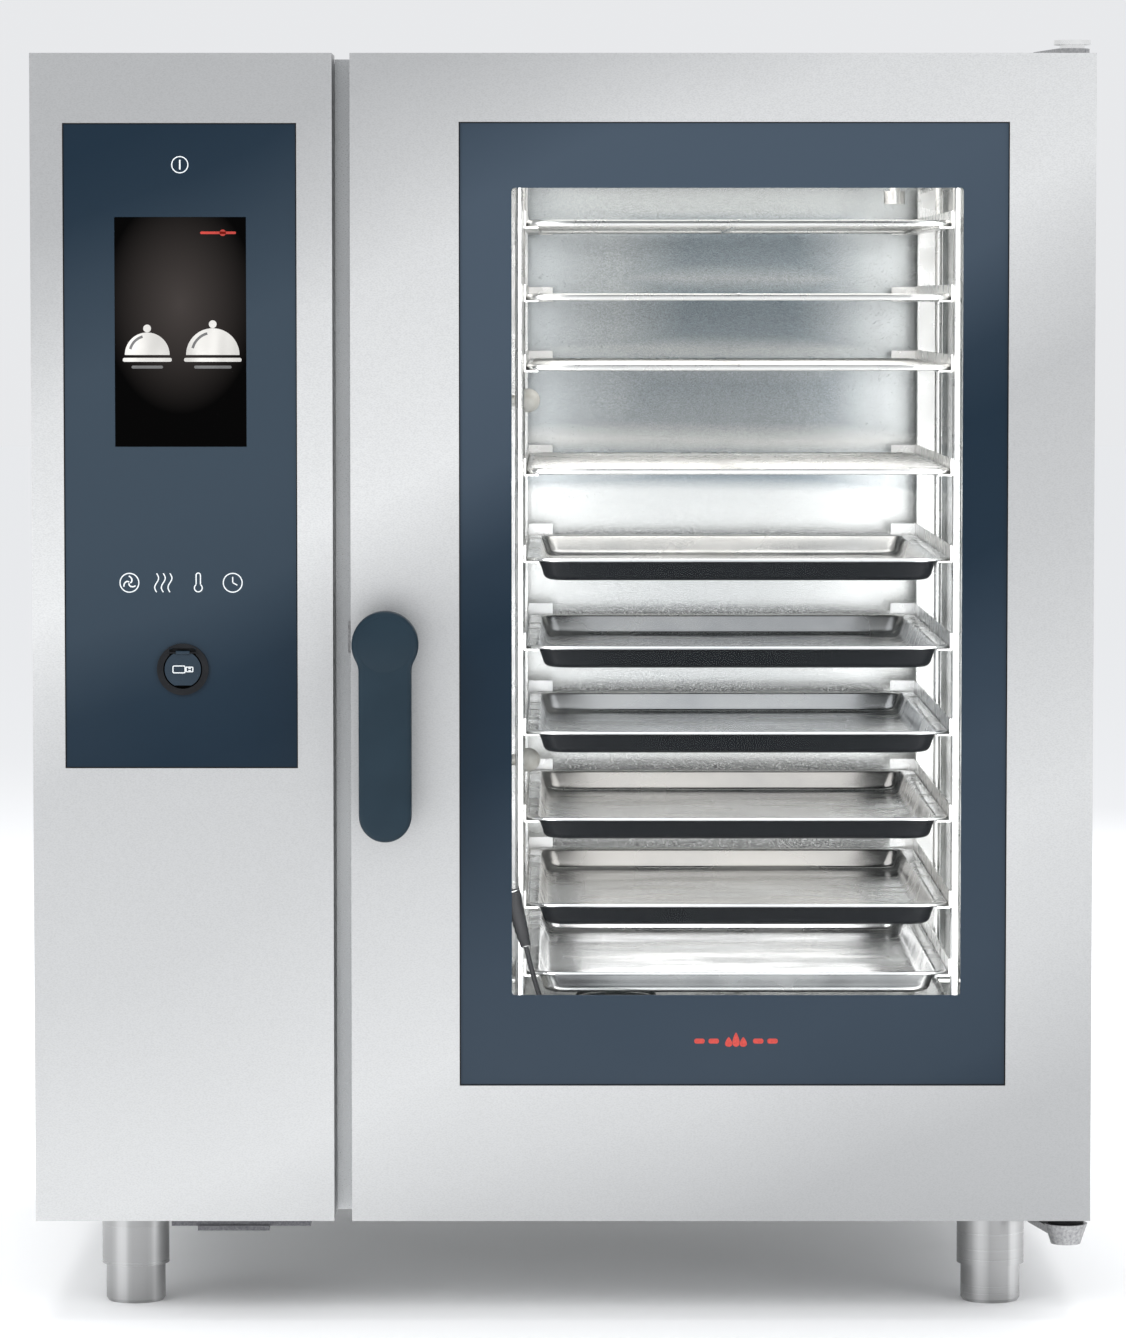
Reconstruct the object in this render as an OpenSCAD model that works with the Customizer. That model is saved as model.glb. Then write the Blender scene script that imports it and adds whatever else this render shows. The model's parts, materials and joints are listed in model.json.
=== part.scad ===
// Combi steamer oven with ten shelf levels, right-hung door and left control column.
// +X is to the right, +Y to the back, +Z up; the origin is on the floor, under the middle.

/* [Casing] */
// Overall width of the casing
casing_w = 925; // [915:5:935]
// Depth from the door face to the rear panel
casing_d = 805; // [800:5:815]
// Height of the casing without its feet
casing_h = 1020; // [1018:1:1024]
// Height of the adjustable feet
foot_h = 88; // [86:1:92]
// Thickness of the casing sheet
sheet = 1.5; // [1.2:0.1:1.6]

/* [Door] */
// Width of the gap between the control column and the door
door_gap = 15.5; // [14:0.5:17]
// Thickness of the door
door_t = 57; // [55:0.5:57]
// Size of the outer glass, width then height
glass_size = [477, 840]; // [470:1:480]
// How far the handle stands in front of the door
handle_reach = 62; // [58:1:66]

/* [Control column] */
// Width of the control column
column_w = 262; // [260:1:264]
// Width and height of the control glass
panel_size = [202, 560]; // [190:1:204]
// Width and height of the display
display_size = [114, 199]; // [100:1:116]

/* [Trays and shelves] */
// Width of a tray or wire shelf across its rims
tray_w = 376; // [370:1:376]
// Length of a tray or wire shelf from front to back
tray_d = 530; // [500:5:530]
// Depth of a tray
tray_h = 21; // [18:1:24]

/* [Fan] */
// Radius of the fan wheel
fan_r = 150; // [140:1:160]
// Number of fan blades
blade_count = 24; // [12:1:30]

/* [Hidden] */
$fn = 48;

// Casing planes
stub = 45;                                  // how far the pipe stubs stand behind the rear panel
left = -casing_w / 2;
right = casing_w / 2;
front = -(handle_reach + casing_d + stub) / 2 + handle_reach;
rear = front + casing_d;
bottom = foot_h;
top = foot_h + casing_h;
top_stack = 12;                             // what stands above the door: hinge cap and flue
column_x = left + column_w;
door_x = column_x + door_gap;
seal_gap = 8;
door_back = front + door_t;
frame_y = front + 65;                       // face of the front frame behind the door
frame_t = 2;
roof_z = top - 8;

// Feet
foot_r = 30;
leg_r = 26.5;
sleeve_h = 54;
foot_x = 383;
foot_ys = [front + 110, rear - 71];

// Cooking chamber
rack_x = 155.4;                             // middle of the racks, left to right
half_room = 217.6;                          // from there to the baffle and to the right wall
room = [[rack_x - half_room, frame_y + frame_t, bottom + 150], [rack_x + half_room, front + 685, bottom + 932]];
fan_room_x = room[0][0] - 54.8;             // inside of the left wall, behind the baffle
wool_t = 30;
fan_y = (room[0][1] + room[1][1]) / 2;
fan_z = (room[0][2] + room[1][2]) / 2;
drain = [rack_x, 20];
flue = [300, 200];
lamp = [rack_x, -100];
flue_r = 30;
lamp_r = 38;
injector = [60, fan_z + 161];               // Y and Z of the water injection pipe at the fan
pipe_r = 4;

// Door and its hinge
hinge = [right - 19, front + 28];
bracket_w = 28;
pin_r = 6;
bush_r = 9;
glass_c = [148.5, bottom + 540];            // middle of the outer glass, X and Z
glass_y = front + 3;
window = [[rack_x - 214, bottom + 175], [rack_x + 214, bottom + 929]];
handle_c = [-153.6, bottom + 509.6];        // axis of the handle, X and Z
handle_len = 200;
handle_w = 45;
head_r = 29;
grip_t = 22;
spindle_r = 7;
grip_back = front - handle_reach + grip_t;

// Control column
panel_c = [-332.8, bottom + 679];
panel_y = front + sheet;
display_c = [-332.4, bottom + 778.6];
usb_c = [-331.5, bottom + 485];
flap_r = 15.8;
flap_t = 2;
flap_axis = [front - 0.6, usb_c[1] + 14.5]; // Y and Z of the flap's hinge
filter_x = [-344.2, -221.8];

// Shelf levels: top of each tray rim above the floor; a shelf's rim wire is centred on it
level_z = [962, 897, 835, 743, 666, 588, 512, 435, 358, 297];
shelf_count = 4;
tray_y = front + 90 + tray_d / 2;
rim_t = 3;
rim_w = 11;
rail_t = 1.2;
post_r = 4;
rail_front = tray_y - tray_d / 2 + 4;
rail_back = tray_y + tray_d / 2 + 2;

// Core temperature probe and its cable
grip_base = [-33, front + 76, 322];
grip_tip = [-46, front + 76, 371];
cable_r = 2.25;
cable_route = [[-45, -140, 246], [-45, -152, 246], [-45, -168, 243], [-45, -190, 240.6], [-45, -215, 240.6],
    [-38, -240, 240.6], [-15, -252, 240.6], [8, -240, 240.6], [15, -215, 240.6], [15, -150, 240.6],
    [15, -70, 240.6], [15, 0, 240.6], [24, 28, 240.6], [50, 40, 240.6], [76, 28, 240.6], [85, 0, 240.6],
    [85, -75, 240.6], [85, -150, 240.6], [85, -225, 240.6], [78, -275, 240.6], [55, -303, 240.6],
    [28, -316, 240.6], [6, -318, 243], [-9, -318, 253], [-19, -318, 272], [-27, -318, 298], [-33, -318, 322]];

// ---- helpers -------------------------------------------------------------------------------

module block(lo, hi) { translate(lo) cube(hi - lo); }
module rod_x(r, x0, x1, y, z) { translate([x0, y, z]) rotate([0, 90, 0]) cylinder(r = r, h = x1 - x0); }
module rod_y(r, x, y0, y1, z) { translate([x, y0, z]) rotate([-90, 0, 0]) cylinder(r = r, h = y1 - y0); }
module rod_z(r, x, y, z0, z1) { translate([x, y, z0]) cylinder(r = r, h = z1 - z0); }

// Flat rectangle with round corners, centred
module rounded_rect(w, d, r) {
    square([w - 2 * r, d], center = true);
    square([w, d - 2 * r], center = true);
    for (sx = [-1, 1], sy = [-1, 1]) translate([sx * (w / 2 - r), sy * (d / 2 - r)]) circle(r);
}

// An upright frame between y0 and y1: an X-Z rectangle with a smaller one cut out
module upright_frame(y0, y1, lo, hi, width) {
    difference() {
        block([lo[0] - width, y0, lo[1] - width], [hi[0] + width, y1, hi[1] + width]);
        block([lo[0], y0 - 1, lo[1]], [hi[0], y1 + 1, hi[1]]);
    }
}

function rect_lo(c, size, grow) = [c[0] - size[0] / 2 - grow, c[1] - size[1] / 2 - grow];
function rect_hi(c, size, grow) = [c[0] + size[0] / 2 + grow, c[1] + size[1] / 2 + grow];
function unit(v) = v / norm(v);

// ---- casing --------------------------------------------------------------------------------

module base_pan() {
    color("silver") {
        difference() {
            block([left + sheet, frame_y + frame_t, bottom], [right - sheet, rear - sheet, bottom + 30]);
            block([left + 2 * sheet, frame_y + frame_t + sheet, bottom + sheet],
                [right - 2 * sheet, rear - 2 * sheet, bottom + 31]);
            block([filter_x[0] + 10, -315, bottom - 1], [filter_x[1] - 10, -175, bottom + 2]);
        }
        // two folded rails under the pan carry the intake filter
        for (side = [-1, 1]) {
            x = side < 0 ? filter_x[0] - 0.3 : filter_x[1] + 0.3;
            block([min(x, x + side * sheet), frame_y + 6, bottom - 8], [max(x, x + side * sheet), -120, bottom]);
            block([min(x - side * 5, x + side * sheet), frame_y + 6, bottom - 8],
                [max(x - side * 5, x + side * sheet), -120, bottom - 6.5]);
        }
    }
}

module foot_sleeves() {
    color("silver") for (x = [-foot_x, foot_x], y = foot_ys) difference() {
        rod_z(foot_r, x, y, bottom - sleeve_h, bottom);
        rod_z(leg_r + 0.1, x, y, bottom - sleeve_h - 1, bottom - 4);
    }
}

module foot_legs() {
    color("gainsboro") for (x = [-foot_x, foot_x], y = foot_ys) {
        translate([x, y, 0]) cylinder(r1 = leg_r - 2, r2 = leg_r, h = 3);
        rod_z(leg_r, x, y, 3, bottom - 4);
    }
}

module left_side_panel() {
    color("lightgray") {
        block([left, frame_y, bottom], [left + sheet, rear, top - 3]);
        block([left + sheet, frame_y, bottom + 31], [left + 20, frame_y + sheet, top - 9]);
    }
}

module right_side_panel() {
    color("lightgray") block([right - sheet, frame_y, bottom], [right, rear, top - 3]);
}

module rear_panel() {
    color("silver") difference() {
        block([left + sheet, rear - sheet, bottom], [right - sheet, rear, top - 3]);
        rod_y(25.3, rack_x, rear - 5, rear + 1, bottom + 60);
        for (x = [-390, -350]) rod_y(13.5, x, rear - 5, rear + 1, bottom + 117);
        rod_y(10.2, -290, rear - 5, rear + 1, bottom + 60);
        // cooling louvres of the electrical compartment
        for (i = [0 : 13]) block([-430, rear - 5, 320 + 22 * i], [-260, rear + 1, 326 + 22 * i]);
    }
}

module roof_panel() {
    color("lightgray") difference() {
        block([left + sheet, frame_y + frame_t, roof_z], [right - sheet, rear - sheet, roof_z + sheet]);
        rod_z(flue_r + 0.3, flue[0], flue[1], roof_z - 1, roof_z + 3);
    }
}

module front_frame() {
    color("silver") {
        difference() {
            block([column_x + 0.2, frame_y, bottom + 1], [right - sheet, frame_y + frame_t, top - 3]);
            block([room[0][0] - 1.8, frame_y - 1, room[0][2]], [room[1][0], frame_y + 3, room[1][2]]);
        }
        block([column_x + 0.2, frame_y, roof_z + 3], [right - sheet, frame_y + 25, roof_z + 5]);
        // holder that the probe's needle is parked in
        difference() {
            block([-74, frame_y + frame_t, 392], [-48, front + 80, 404]);
            probe_needle(0.25);
        }
    }
}

module cavity_shell() {
    inner_lo = [fan_room_x, room[0][1], room[0][2]];
    wall = [sheet, sheet, sheet];
    color("whitesmoke") difference() {
        block([inner_lo[0] - sheet, inner_lo[1], inner_lo[2] - sheet], room[1] + wall);
        block(inner_lo - [0, 1, 0], room[1]);
        rod_x(10, fan_room_x - 3, fan_room_x + 1, fan_y, fan_z);
        rod_x(pipe_r + 0.2, fan_room_x - 3, fan_room_x + 1, injector[0], injector[1]);
        rod_z(flue_r - sheet, flue[0], flue[1], room[1][2] - 1, room[1][2] + 3);
        rod_z(lamp_r - 8, lamp[0], lamp[1], room[1][2] - 1, room[1][2] + 3);
        rod_z(18.5, drain[0], drain[1], room[0][2] - 3, room[0][2] + 1);
    }
}

module insulation() {
    shell_lo = [fan_room_x - sheet, room[0][1], room[0][2] - sheet];
    shell_hi = room[1] + [sheet, sheet, sheet];
    color("khaki") difference() {
        block(shell_lo - [wool_t, 0, wool_t], shell_hi + [wool_t, wool_t, wool_t]);
        block(shell_lo - [0, 1, 0], shell_hi);
        rod_x(25, shell_lo[0] - wool_t - 1, shell_lo[0] + 1, fan_y, fan_z);
        rod_x(pipe_r + 0.2, shell_lo[0] - wool_t - 1, shell_lo[0] + 1, injector[0], injector[1]);
        rod_z(flue_r + 0.2, flue[0], flue[1], shell_hi[2] - 1, shell_hi[2] + wool_t + 1);
        rod_z(lamp_r + 0.2, lamp[0], lamp[1], shell_hi[2] - 1, shell_hi[2] + wool_t + 1);
        rod_z(20.2, drain[0], drain[1], shell_lo[2] - wool_t - 1, shell_lo[2] + 1);
    }
}

// ---- control column ------------------------------------------------------------------------

module control_fascia() {
    lo = rect_lo(panel_c, panel_size, 0.5);
    hi = rect_hi(panel_c, panel_size, 0.5);
    color("lightgray") {
        difference() {
            block([left, front, bottom], [column_x, frame_y - 0.3, top]);
            block([left + sheet, front + sheet, bottom + sheet], [column_x - sheet, frame_y, top - sheet]);
            block([lo[0], front - 1, lo[1]], [hi[0], front + 3, hi[1]]);
        }
        upright_frame(front + sheet, front + 12, lo, hi, sheet);
    }
}

module control_glass() {
    lo = rect_lo(panel_c, panel_size, 0);
    hi = rect_hi(panel_c, panel_size, 0);
    hole_lo = rect_lo(display_c, display_size, 0.2);
    hole_hi = rect_hi(display_c, display_size, 0.2);
    color("darkslategray") difference() {
        block([lo[0], panel_y, lo[1]], [hi[0], panel_y + 4, hi[1]]);
        block([hole_lo[0], panel_y - 1, hole_lo[1]], [hole_hi[0], panel_y + 5, hole_hi[1]]);
        rod_y(20.3, usb_c[0], panel_y - 1, panel_y + 5, usb_c[1]);
    }
}

module display_screen() {
    lo = rect_lo(display_c, display_size, 0);
    hi = rect_hi(display_c, display_size, 0);
    color("black") block([lo[0], panel_y + 0.2, lo[1]], [hi[0], panel_y + 12, hi[1]]);
}

module usb_port() {
    x = usb_c[0];
    z = usb_c[1];
    color("dimgray") difference() {
        union() {
            rod_y(22.5, x, panel_y - 2.5, panel_y, z);
            rod_y(20, x, panel_y, panel_y + 15, z);
        }
        difference() {
            rod_y(17, x, panel_y - 3, panel_y + 13, z);
            block([x - 8, panel_y + 4.5, z - 6], [x + 8, panel_y + 20, z + 6]);
        }
        block([x - 6, panel_y + 4, z - 2.5], [x + 6, panel_y + 12, z + 2.5]);
        // room for the flap's knuckle to turn
        block([x - 11.6, panel_y - 3, z + 12], [x + 11.6, panel_y + 1.5, z + 18.5]);
        rod_x(0.75, x - 13.5, x + 13.5, flap_axis[0], flap_axis[1]);
    }
}

module usb_hinge_pin() {
    color("silver") rod_x(0.75, usb_c[0] - 13.5, usb_c[0] + 13.5, flap_axis[0], flap_axis[1]);
}

module usb_cover() {
    color("darkslategray") difference() {
        union() {
            difference() {
                rod_y(flap_r, usb_c[0], flap_axis[0], flap_axis[0] + flap_t, usb_c[1]);
                block([usb_c[0] - 20, flap_axis[0] - 1, usb_c[1] - 20], [usb_c[0] + 20, flap_axis[0] + 9, usb_c[1] - 14]);
            }
            rod_x(1.7, usb_c[0] - 6, usb_c[0] + 6, flap_axis[0], flap_axis[1]);
        }
        rod_x(0.85, usb_c[0] - 20, usb_c[0] + 20, flap_axis[0], flap_axis[1]);
    }
}

module control_board() {
    color("seagreen") {
        block([-430, front + 30, 520], [-235, front + 32, 1000]);
        for (z = [560, 640, 720]) block([-410, front + 32, z], [-370, front + 50, z + 45]);
        for (x = [-340, -300, -260]) rod_y(12, x, front + 32, front + 58, 600);
        block([-350, front + 32, 820], [-270, front + 44, 940]);
    }
}

module intake_filter() {
    y0 = front + 12;
    color("gray") {
        difference() {
            block([filter_x[0], y0, bottom - 6.2], [filter_x[1], y0 + 220, bottom - 0.3]);
            for (i = [0 : 9]) block([filter_x[0] + 12, y0 + 66 + 14 * i, bottom - 7],
                [filter_x[1] - 12, y0 + 74 + 14 * i, bottom + 1]);
        }
        block([-321, y0 - 3, bottom - 10], [-258, y0 + 10, bottom - 5.5]);
    }
}

// ---- fan, heating and water ----------------------------------------------------------------

module air_baffle() {
    x = room[0][0];
    color("silver") {
        difference() {
            block([x - sheet, -300, room[0][2] + 24], [x, 270, room[1][2] - 24]);
            // intake holes in rings around the fan's axis
            for (ring = [0 : 3], k = [0 : max(6 * ring, 1) - 1]) {
                a = ring == 0 ? 0 : 60 * k / ring;
                rod_x(10, x - 4, x + 2, fan_y + 30 * ring * cos(a), fan_z + 30 * ring * sin(a));
            }
        }
        block([x - 18, -300, room[0][2] + 24], [x - sheet, -300 + sheet, room[1][2] - 24]);
        for (y = [-250, 220], z = [330, 930]) rod_x(5, fan_room_x, x - sheet / 2, y, z);
    }
}

module baffle_knobs() {
    color("white") for (z = [470, 802]) {
        rod_x(5, room[0][0], room[0][0] + 24, -94, z);
        translate([room[0][0] + 30, -94, z]) sphere(r = 11);
    }
}

module fan_wheel() {
    x0 = fan_room_x + 5;
    x1 = x0 + 36;
    color("silver") {
        difference() {
            union() {
                rod_x(fan_r, x0, x0 + 1.6, fan_y, fan_z);
                rod_x(22, x0, x0 + 28, fan_y, fan_z);
            }
            rod_x(9, x0 - 1, x0 + 40, fan_y, fan_z);
        }
        difference() {
            rod_x(fan_r, x1, x1 + 1.6, fan_y, fan_z);
            rod_x(fan_r - 42, x1 - 1, x1 + 3, fan_y, fan_z);
        }
        for (k = [0 : blade_count - 1]) translate([x0 + 1.4, fan_y, fan_z])
            rotate([360 * k / blade_count, 0, 0]) translate([0, 0, fan_r - 28]) rotate([28, 0, 0])
                translate([0, -0.8, -18]) cube([34.8, 1.6, 40]);
    }
}

module fan_shaft() {
    x0 = fan_room_x + 5;
    color("gray") {
        rod_x(9, -230, x0 + 28, fan_y, fan_z);
        translate([x0 + 28, fan_y, fan_z]) rotate([0, 90, 0]) cylinder(r = 14, h = 6, $fn = 6);
    }
}

module fan_motor() {
    x1 = fan_room_x - sheet - wool_t;
    color("dimgray") difference() {
        union() {
            rod_x(80, x1 - 12, x1, fan_y, fan_z);
            rod_x(58, -300, x1 - 12, fan_y, fan_z);
            for (i = [0 : 8]) rod_x(64, -288 + 13 * i, -284 + 13 * i, fan_y, fan_z);
            block([-270, fan_y - 30, fan_z + 50], [-200, fan_y + 30, fan_z + 90]);
        }
        rod_x(9.05, -232, x1 + 1, fan_y, fan_z);
    }
}

// Three ring elements, each with two straight legs back to the chamber's left wall
module heating_coils() {
    color("sienna") for (i = [0 : 2]) {
        x = fan_room_x + 13 + 11 * i;
        r = fan_r + 49 - 9 * i;
        translate([x, fan_y, fan_z]) rotate([0, 90, 0]) rotate_extrude() translate([r, 0]) circle(4);
        for (a = [-8, 8]) rod_x(3.5, fan_room_x, x, fan_y + r * sin(a), fan_z - r * cos(a));
    }
}

module drain_sieve() {
    color("silver") difference() {
        rod_z(30, drain[0], drain[1], room[0][2], room[0][2] + 1.2);
        for (k = [0 : 7]) rod_z(3, drain[0] + 11 * cos(45 * k), drain[1] + 11 * sin(45 * k), room[0][2] - 1, room[0][2] + 3);
    }
}

module quench_box() {
    z1 = room[0][2] - sheet;
    color("silver") difference() {
        union() {
            block([80, -70, bottom + 33], [230, 110, bottom + 104]);
            rod_z(20, drain[0], drain[1], bottom + 103, z1);
            rod_y(24.6, rack_x, 109, rear + 1, bottom + 60);
            rod_y(25, rack_x, rear + 1, rear + stub, bottom + 60);
        }
        block([82, -68, bottom + 35], [228, 108, bottom + 102]);
        rod_z(18.5, drain[0], drain[1], bottom + 101, z1 + 1);
        rod_y(23, rack_x, 107, rear + stub + 1, bottom + 60);
    }
}

module exhaust_pipe() {
    color("silver") difference() {
        union() {
            rod_z(flue_r - 0.5, flue[0], flue[1], room[1][2] + sheet, roof_z + 2.5);
            rod_z(flue_r, flue[0], flue[1], roof_z + 2.5, top + top_stack);
        }
        rod_z(flue_r - sheet, flue[0], flue[1], room[1][2], top + top_stack + 1);
        rod_x(2.6, flue[0] - 40, flue[0] + 40, flue[1], roof_z - 20);
    }
}

module steam_damper() {
    z = roof_z - 20;
    color("gray") {
        rod_z(flue_r - 1.8, flue[0], flue[1], z - 0.8, z + 0.8);
        rod_x(2.5, flue[0] - 34, flue[0] + 52, flue[1], z);
        block([flue[0] + 46, flue[1] - 4, z - 16], [flue[0] + 50, flue[1] + 4, z + 4]);
    }
}

module water_valves() {
    corner = [-370, 375];
    color("peru") {
        block([-410, 350, bottom + 92], [-330, 400, bottom + 142]);
        for (x = [-390, -350]) {
            rod_y(12.6, x, 399, rear + 1, bottom + 117);
            rod_y(13.2, x, rear + 1, rear + stub, bottom + 117);
            rod_z(11, x, 375, bottom + 141, bottom + 172);
        }
        rod_z(pipe_r, corner[0], corner[1], bottom + 141, injector[1]);
        translate([corner[0], corner[1], injector[1]]) sphere(r = pipe_r + 1);
        rod_y(pipe_r, corner[0], injector[0], corner[1], injector[1]);
        translate([corner[0], injector[0], injector[1]]) sphere(r = pipe_r + 1);
        rod_x(pipe_r, corner[0], fan_room_x + 12, injector[0], injector[1]);
    }
}

module cavity_lamp() {
    z = room[1][2];
    color("silver") difference() {
        rod_z(lamp_r, lamp[0], lamp[1], z + sheet, z + 40);
        rod_z(lamp_r - 8, lamp[0], lamp[1], z, z + 38);
    }
}

module lamp_lens() {
    color("lightcyan") rod_z(lamp_r - 2, lamp[0], lamp[1], room[1][2] - 6, room[1][2]);
}

module wash_nozzle() {
    color("silver") {
        rod_z(5, 310, 0, room[1][2] - 25, room[1][2]);
        rod_z(10, 310, 0, room[1][2] - 36, room[1][2] - 24);
    }
}

module cable_gland() {
    color("dimgray") difference() {
        union() {
            rod_y(10, -290, rear - 10, rear, bottom + 60);
            translate([-290, rear, bottom + 60]) rotate([-90, 0, 0]) cylinder(r = 16, h = 9, $fn = 6);
            rod_y(12, -290, rear + 9, rear + 26, bottom + 60);
        }
        rod_y(7, -290, rear - 11, rear + 27, bottom + 60);
    }
}

// ---- racks, shelves and trays --------------------------------------------------------------

// The right-hand rack around the plane x = 0: posts, stringers and wall pegs, then its rails
module rack_half() {
    guide_x = tray_w / 2 + 0.5;
    post_x = guide_x + rail_t + 0.1 + post_r;
    y_back = rail_back - 16;
    rod_z(post_r, post_x, rail_front + 4, 252, 1006);
    rod_z(post_r - 0.8, post_x, -40, 256, 1002);
    difference() {
        block([guide_x + rail_t + 0.1, y_back - 7, 252], [guide_x + rail_t + 24, y_back + 7, 1006]);
        block([guide_x + rail_t + 1.6, y_back - 8, 251], [guide_x + rail_t + 22.5, y_back + 5.5, 1007]);
    }
    for (z = [258, 1000]) {
        rod_y(2.6, post_x, rail_front + 4, y_back + 6, z);
        for (y = [rail_front + 4, -40]) rod_x(3, post_x, half_room, y, z);
    }
    for (z = level_z) {
        z0 = z - rim_t;
        block([guide_x - rim_w, rail_front, z0 - rail_t], [guide_x + rail_t, rail_back + rail_t, z0]);
        block([guide_x, rail_front, z0 - rail_t], [guide_x + rail_t, rail_back + rail_t, z0 + 14]);
        block([guide_x - 23, rail_back, z0 - rail_t], [guide_x + rail_t, rail_back + rail_t, z0 + 13]);
    }
}

module rack_right() { color("silver") translate([rack_x, 0, 0]) rack_half(); }
module rack_left() { color("silver") translate([rack_x, 0, 0]) mirror([1, 0, 0]) rack_half(); }

module wire_shelf(level) {
    wire_r = 3;
    hx = tray_w / 2 - wire_r;
    hy = tray_d / 2 - wire_r;
    color("silver") translate([rack_x, tray_y, level_z[level] - rim_t + wire_r]) {
        for (s = [-1, 1]) {
            rod_y(wire_r, s * hx, -hy, hy, 0);
            rod_x(wire_r, -hx, hx, s * hy, 0);
            for (t = [-1, 1]) translate([s * hx, t * hy, 0]) sphere(r = wire_r);
        }
        for (i = [1 : 20]) translate([-hx, -hy + i * 2 * hy / 21, 0]) rotate([0, 90, 0]) cylinder(r = 1.6, h = 2 * hx, $fn = 8);
        rod_y(1.9, 0, -hy, hy, -0.6);
    }
}

module tray(level) {
    wall_t = 1.2;
    well_w = tray_w - 2 * rim_w;
    well_d = tray_d - 2 * rim_w;
    color("gainsboro") translate([rack_x, tray_y, level_z[level]]) difference() {
        union() {
            translate([0, 0, -rim_t]) linear_extrude(rim_t) rounded_rect(tray_w, tray_d, 24);
            translate([0, 0, -tray_h]) linear_extrude(tray_h - 1) rounded_rect(well_w, well_d, 16);
        }
        translate([0, 0, wall_t - tray_h]) linear_extrude(tray_h) rounded_rect(well_w - 2 * wall_t, well_d - 2 * wall_t, 14.8);
    }
}

// ---- core temperature probe ----------------------------------------------------------------

module along_probe() {
    axis = unit(grip_tip - grip_base);
    translate(grip_base) rotate([0, -acos(axis[2]), 0]) children();
}

module probe_needle(extra) {
    along_probe() translate([0, 0, 45]) cylinder(r = 1.6 + extra, h = 115);
}

module core_probe() {
    color("black") along_probe() cylinder(r1 = 4.5, r2 = 7.5, h = norm(grip_tip - grip_base));
    color("silver") probe_needle(0);
}

module probe_gland() {
    color("silver") difference() {
        union() {
            rod_z(8, -45, -126, room[0][2], room[0][2] + 16);
            rod_y(5, -45, -140, -126, room[0][2] + 8);
        }
        rod_y(cable_r, -45, -141, -132, room[0][2] + 8);
    }
}

// A point on the smooth curve through the route's points
function route_point(s) = let (
        n = len(cable_route), i = min(floor(s), n - 2), t = s - i,
        a = cable_route[max(i - 1, 0)], b = cable_route[i], c = cable_route[i + 1], d = cable_route[min(i + 2, n - 1)])
    0.5 * (2 * b + (c - a) * t + (2 * a - 5 * b + 4 * c - d) * t * t + (3 * b - a - 3 * c + d) * t * t * t);

// A tube swept along the route; its first side vector turns as little as possible from ring to ring
module probe_cable() {
    sides = 8;
    last = 3 * (len(cable_route) - 1);
    pts = [for (k = [0 : last]) route_point(k / 3)];
    dirs = [for (k = [0 : last]) unit(pts[min(k + 1, last)] - pts[max(k - 1, 0)])];
    us = [for (k = 0, u = [1, 0, 0]; k <= last; k = k + 1,
        u = k <= last ? unit(u - (u * dirs[k]) * dirs[k]) : u) u];
    rings = [for (k = [0 : last], j = [0 : sides - 1])
        pts[k] + cable_r * (cos(360 * j / sides) * us[k] + sin(360 * j / sides) * cross(dirs[k], us[k]))];
    walls = [for (k = [0 : last - 1], j = [0 : sides - 1]) let (m = (j + 1) % sides)
        [k * sides + j, (k + 1) * sides + j, (k + 1) * sides + m, k * sides + m]];
    caps = [[for (j = [0 : sides - 1]) j], [for (j = [0 : sides - 1]) last * sides + sides - 1 - j]];
    color("black") polyhedron(points = rings, faces = concat(walls, caps), convexity = 10);
}

// ---- door, hinge and handle ----------------------------------------------------------------

module door_gasket() {
    color("black") upright_frame(door_back + 0.4, frame_y, [room[0][0] - 6, room[0][2] - 4],
        [room[1][0] + 4, room[1][2] + 4], 16);
}

module hinge_plate(z0, z1) {
    translate([0, 0, z0]) linear_extrude(z1 - z0) {
        translate(hinge) circle(15);
        polygon([[hinge[0] - 15, hinge[1]], [hinge[0] + 15, hinge[1]], [hinge[0] - 2, -300],
            [hinge[0] - 2, -240], [hinge[0] - bracket_w, -240], [hinge[0] - bracket_w, -300]]);
    }
}

module hinge_bracket_top() {
    color("gray") difference() {
        union() {
            hinge_plate(top + 0.6, top + 4.6);
            block([hinge[0] - bracket_w, -300, roof_z + sheet], [hinge[0] - 2, -240, top + 1]);
        }
        rod_z(pin_r, hinge[0], hinge[1], top, top + 5);
    }
}

module hinge_bracket_bottom() {
    color("gray") difference() {
        union() {
            hinge_plate(bottom - 16, bottom - 10);
            block([hinge[0] - bracket_w, -300, bottom - 11], [hinge[0] - 2, -240, bottom]);
            translate([hinge[0], hinge[1], bottom - 24]) cylinder(r1 = 13, r2 = 19, h = 18);
        }
        rod_z(pin_r, hinge[0], hinge[1], bottom - 25, bottom);
    }
}

module hinge_pins() {
    color("silver") {
        rod_z(pin_r, hinge[0], hinge[1], bottom - 24, bottom + 22);
        rod_z(pin_r, hinge[0], hinge[1], top - 22, top + 5);
        rod_z(11, hinge[0], hinge[1], top + 4.6, top + 8);
        rod_z(16, hinge[0], hinge[1], top + 8, top + top_stack);
    }
}

module hinge_bushes() {
    color("darkgoldenrod") for (z = [bottom, top - 24]) difference() {
        rod_z(bush_r, hinge[0], hinge[1], z, z + 24);
        rod_z(pin_r + 0.05, hinge[0], hinge[1], z - 1, z + 25);
    }
}

module door_shell() {
    lo = rect_lo(glass_c, glass_size, 0.5);
    hi = rect_hi(glass_c, glass_size, 0.5);
    color("lightgray") {
        difference() {
            block([door_x, front, bottom], [right, door_back, top]);
            block([door_x + sheet, front + sheet, bottom + sheet], [right - sheet, door_back + 1, top - sheet]);
            block([lo[0], front - 1, lo[1]], [hi[0], front + 3, hi[1]]);
            rod_z(bush_r, hinge[0], hinge[1], bottom - 1, top + 1);
            rod_y(spindle_r + 0.2, handle_c[0], front - 1, front + 3, handle_c[1]);
        }
        upright_frame(front + sheet, front + 14, lo, hi, sheet);
    }
}

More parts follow.
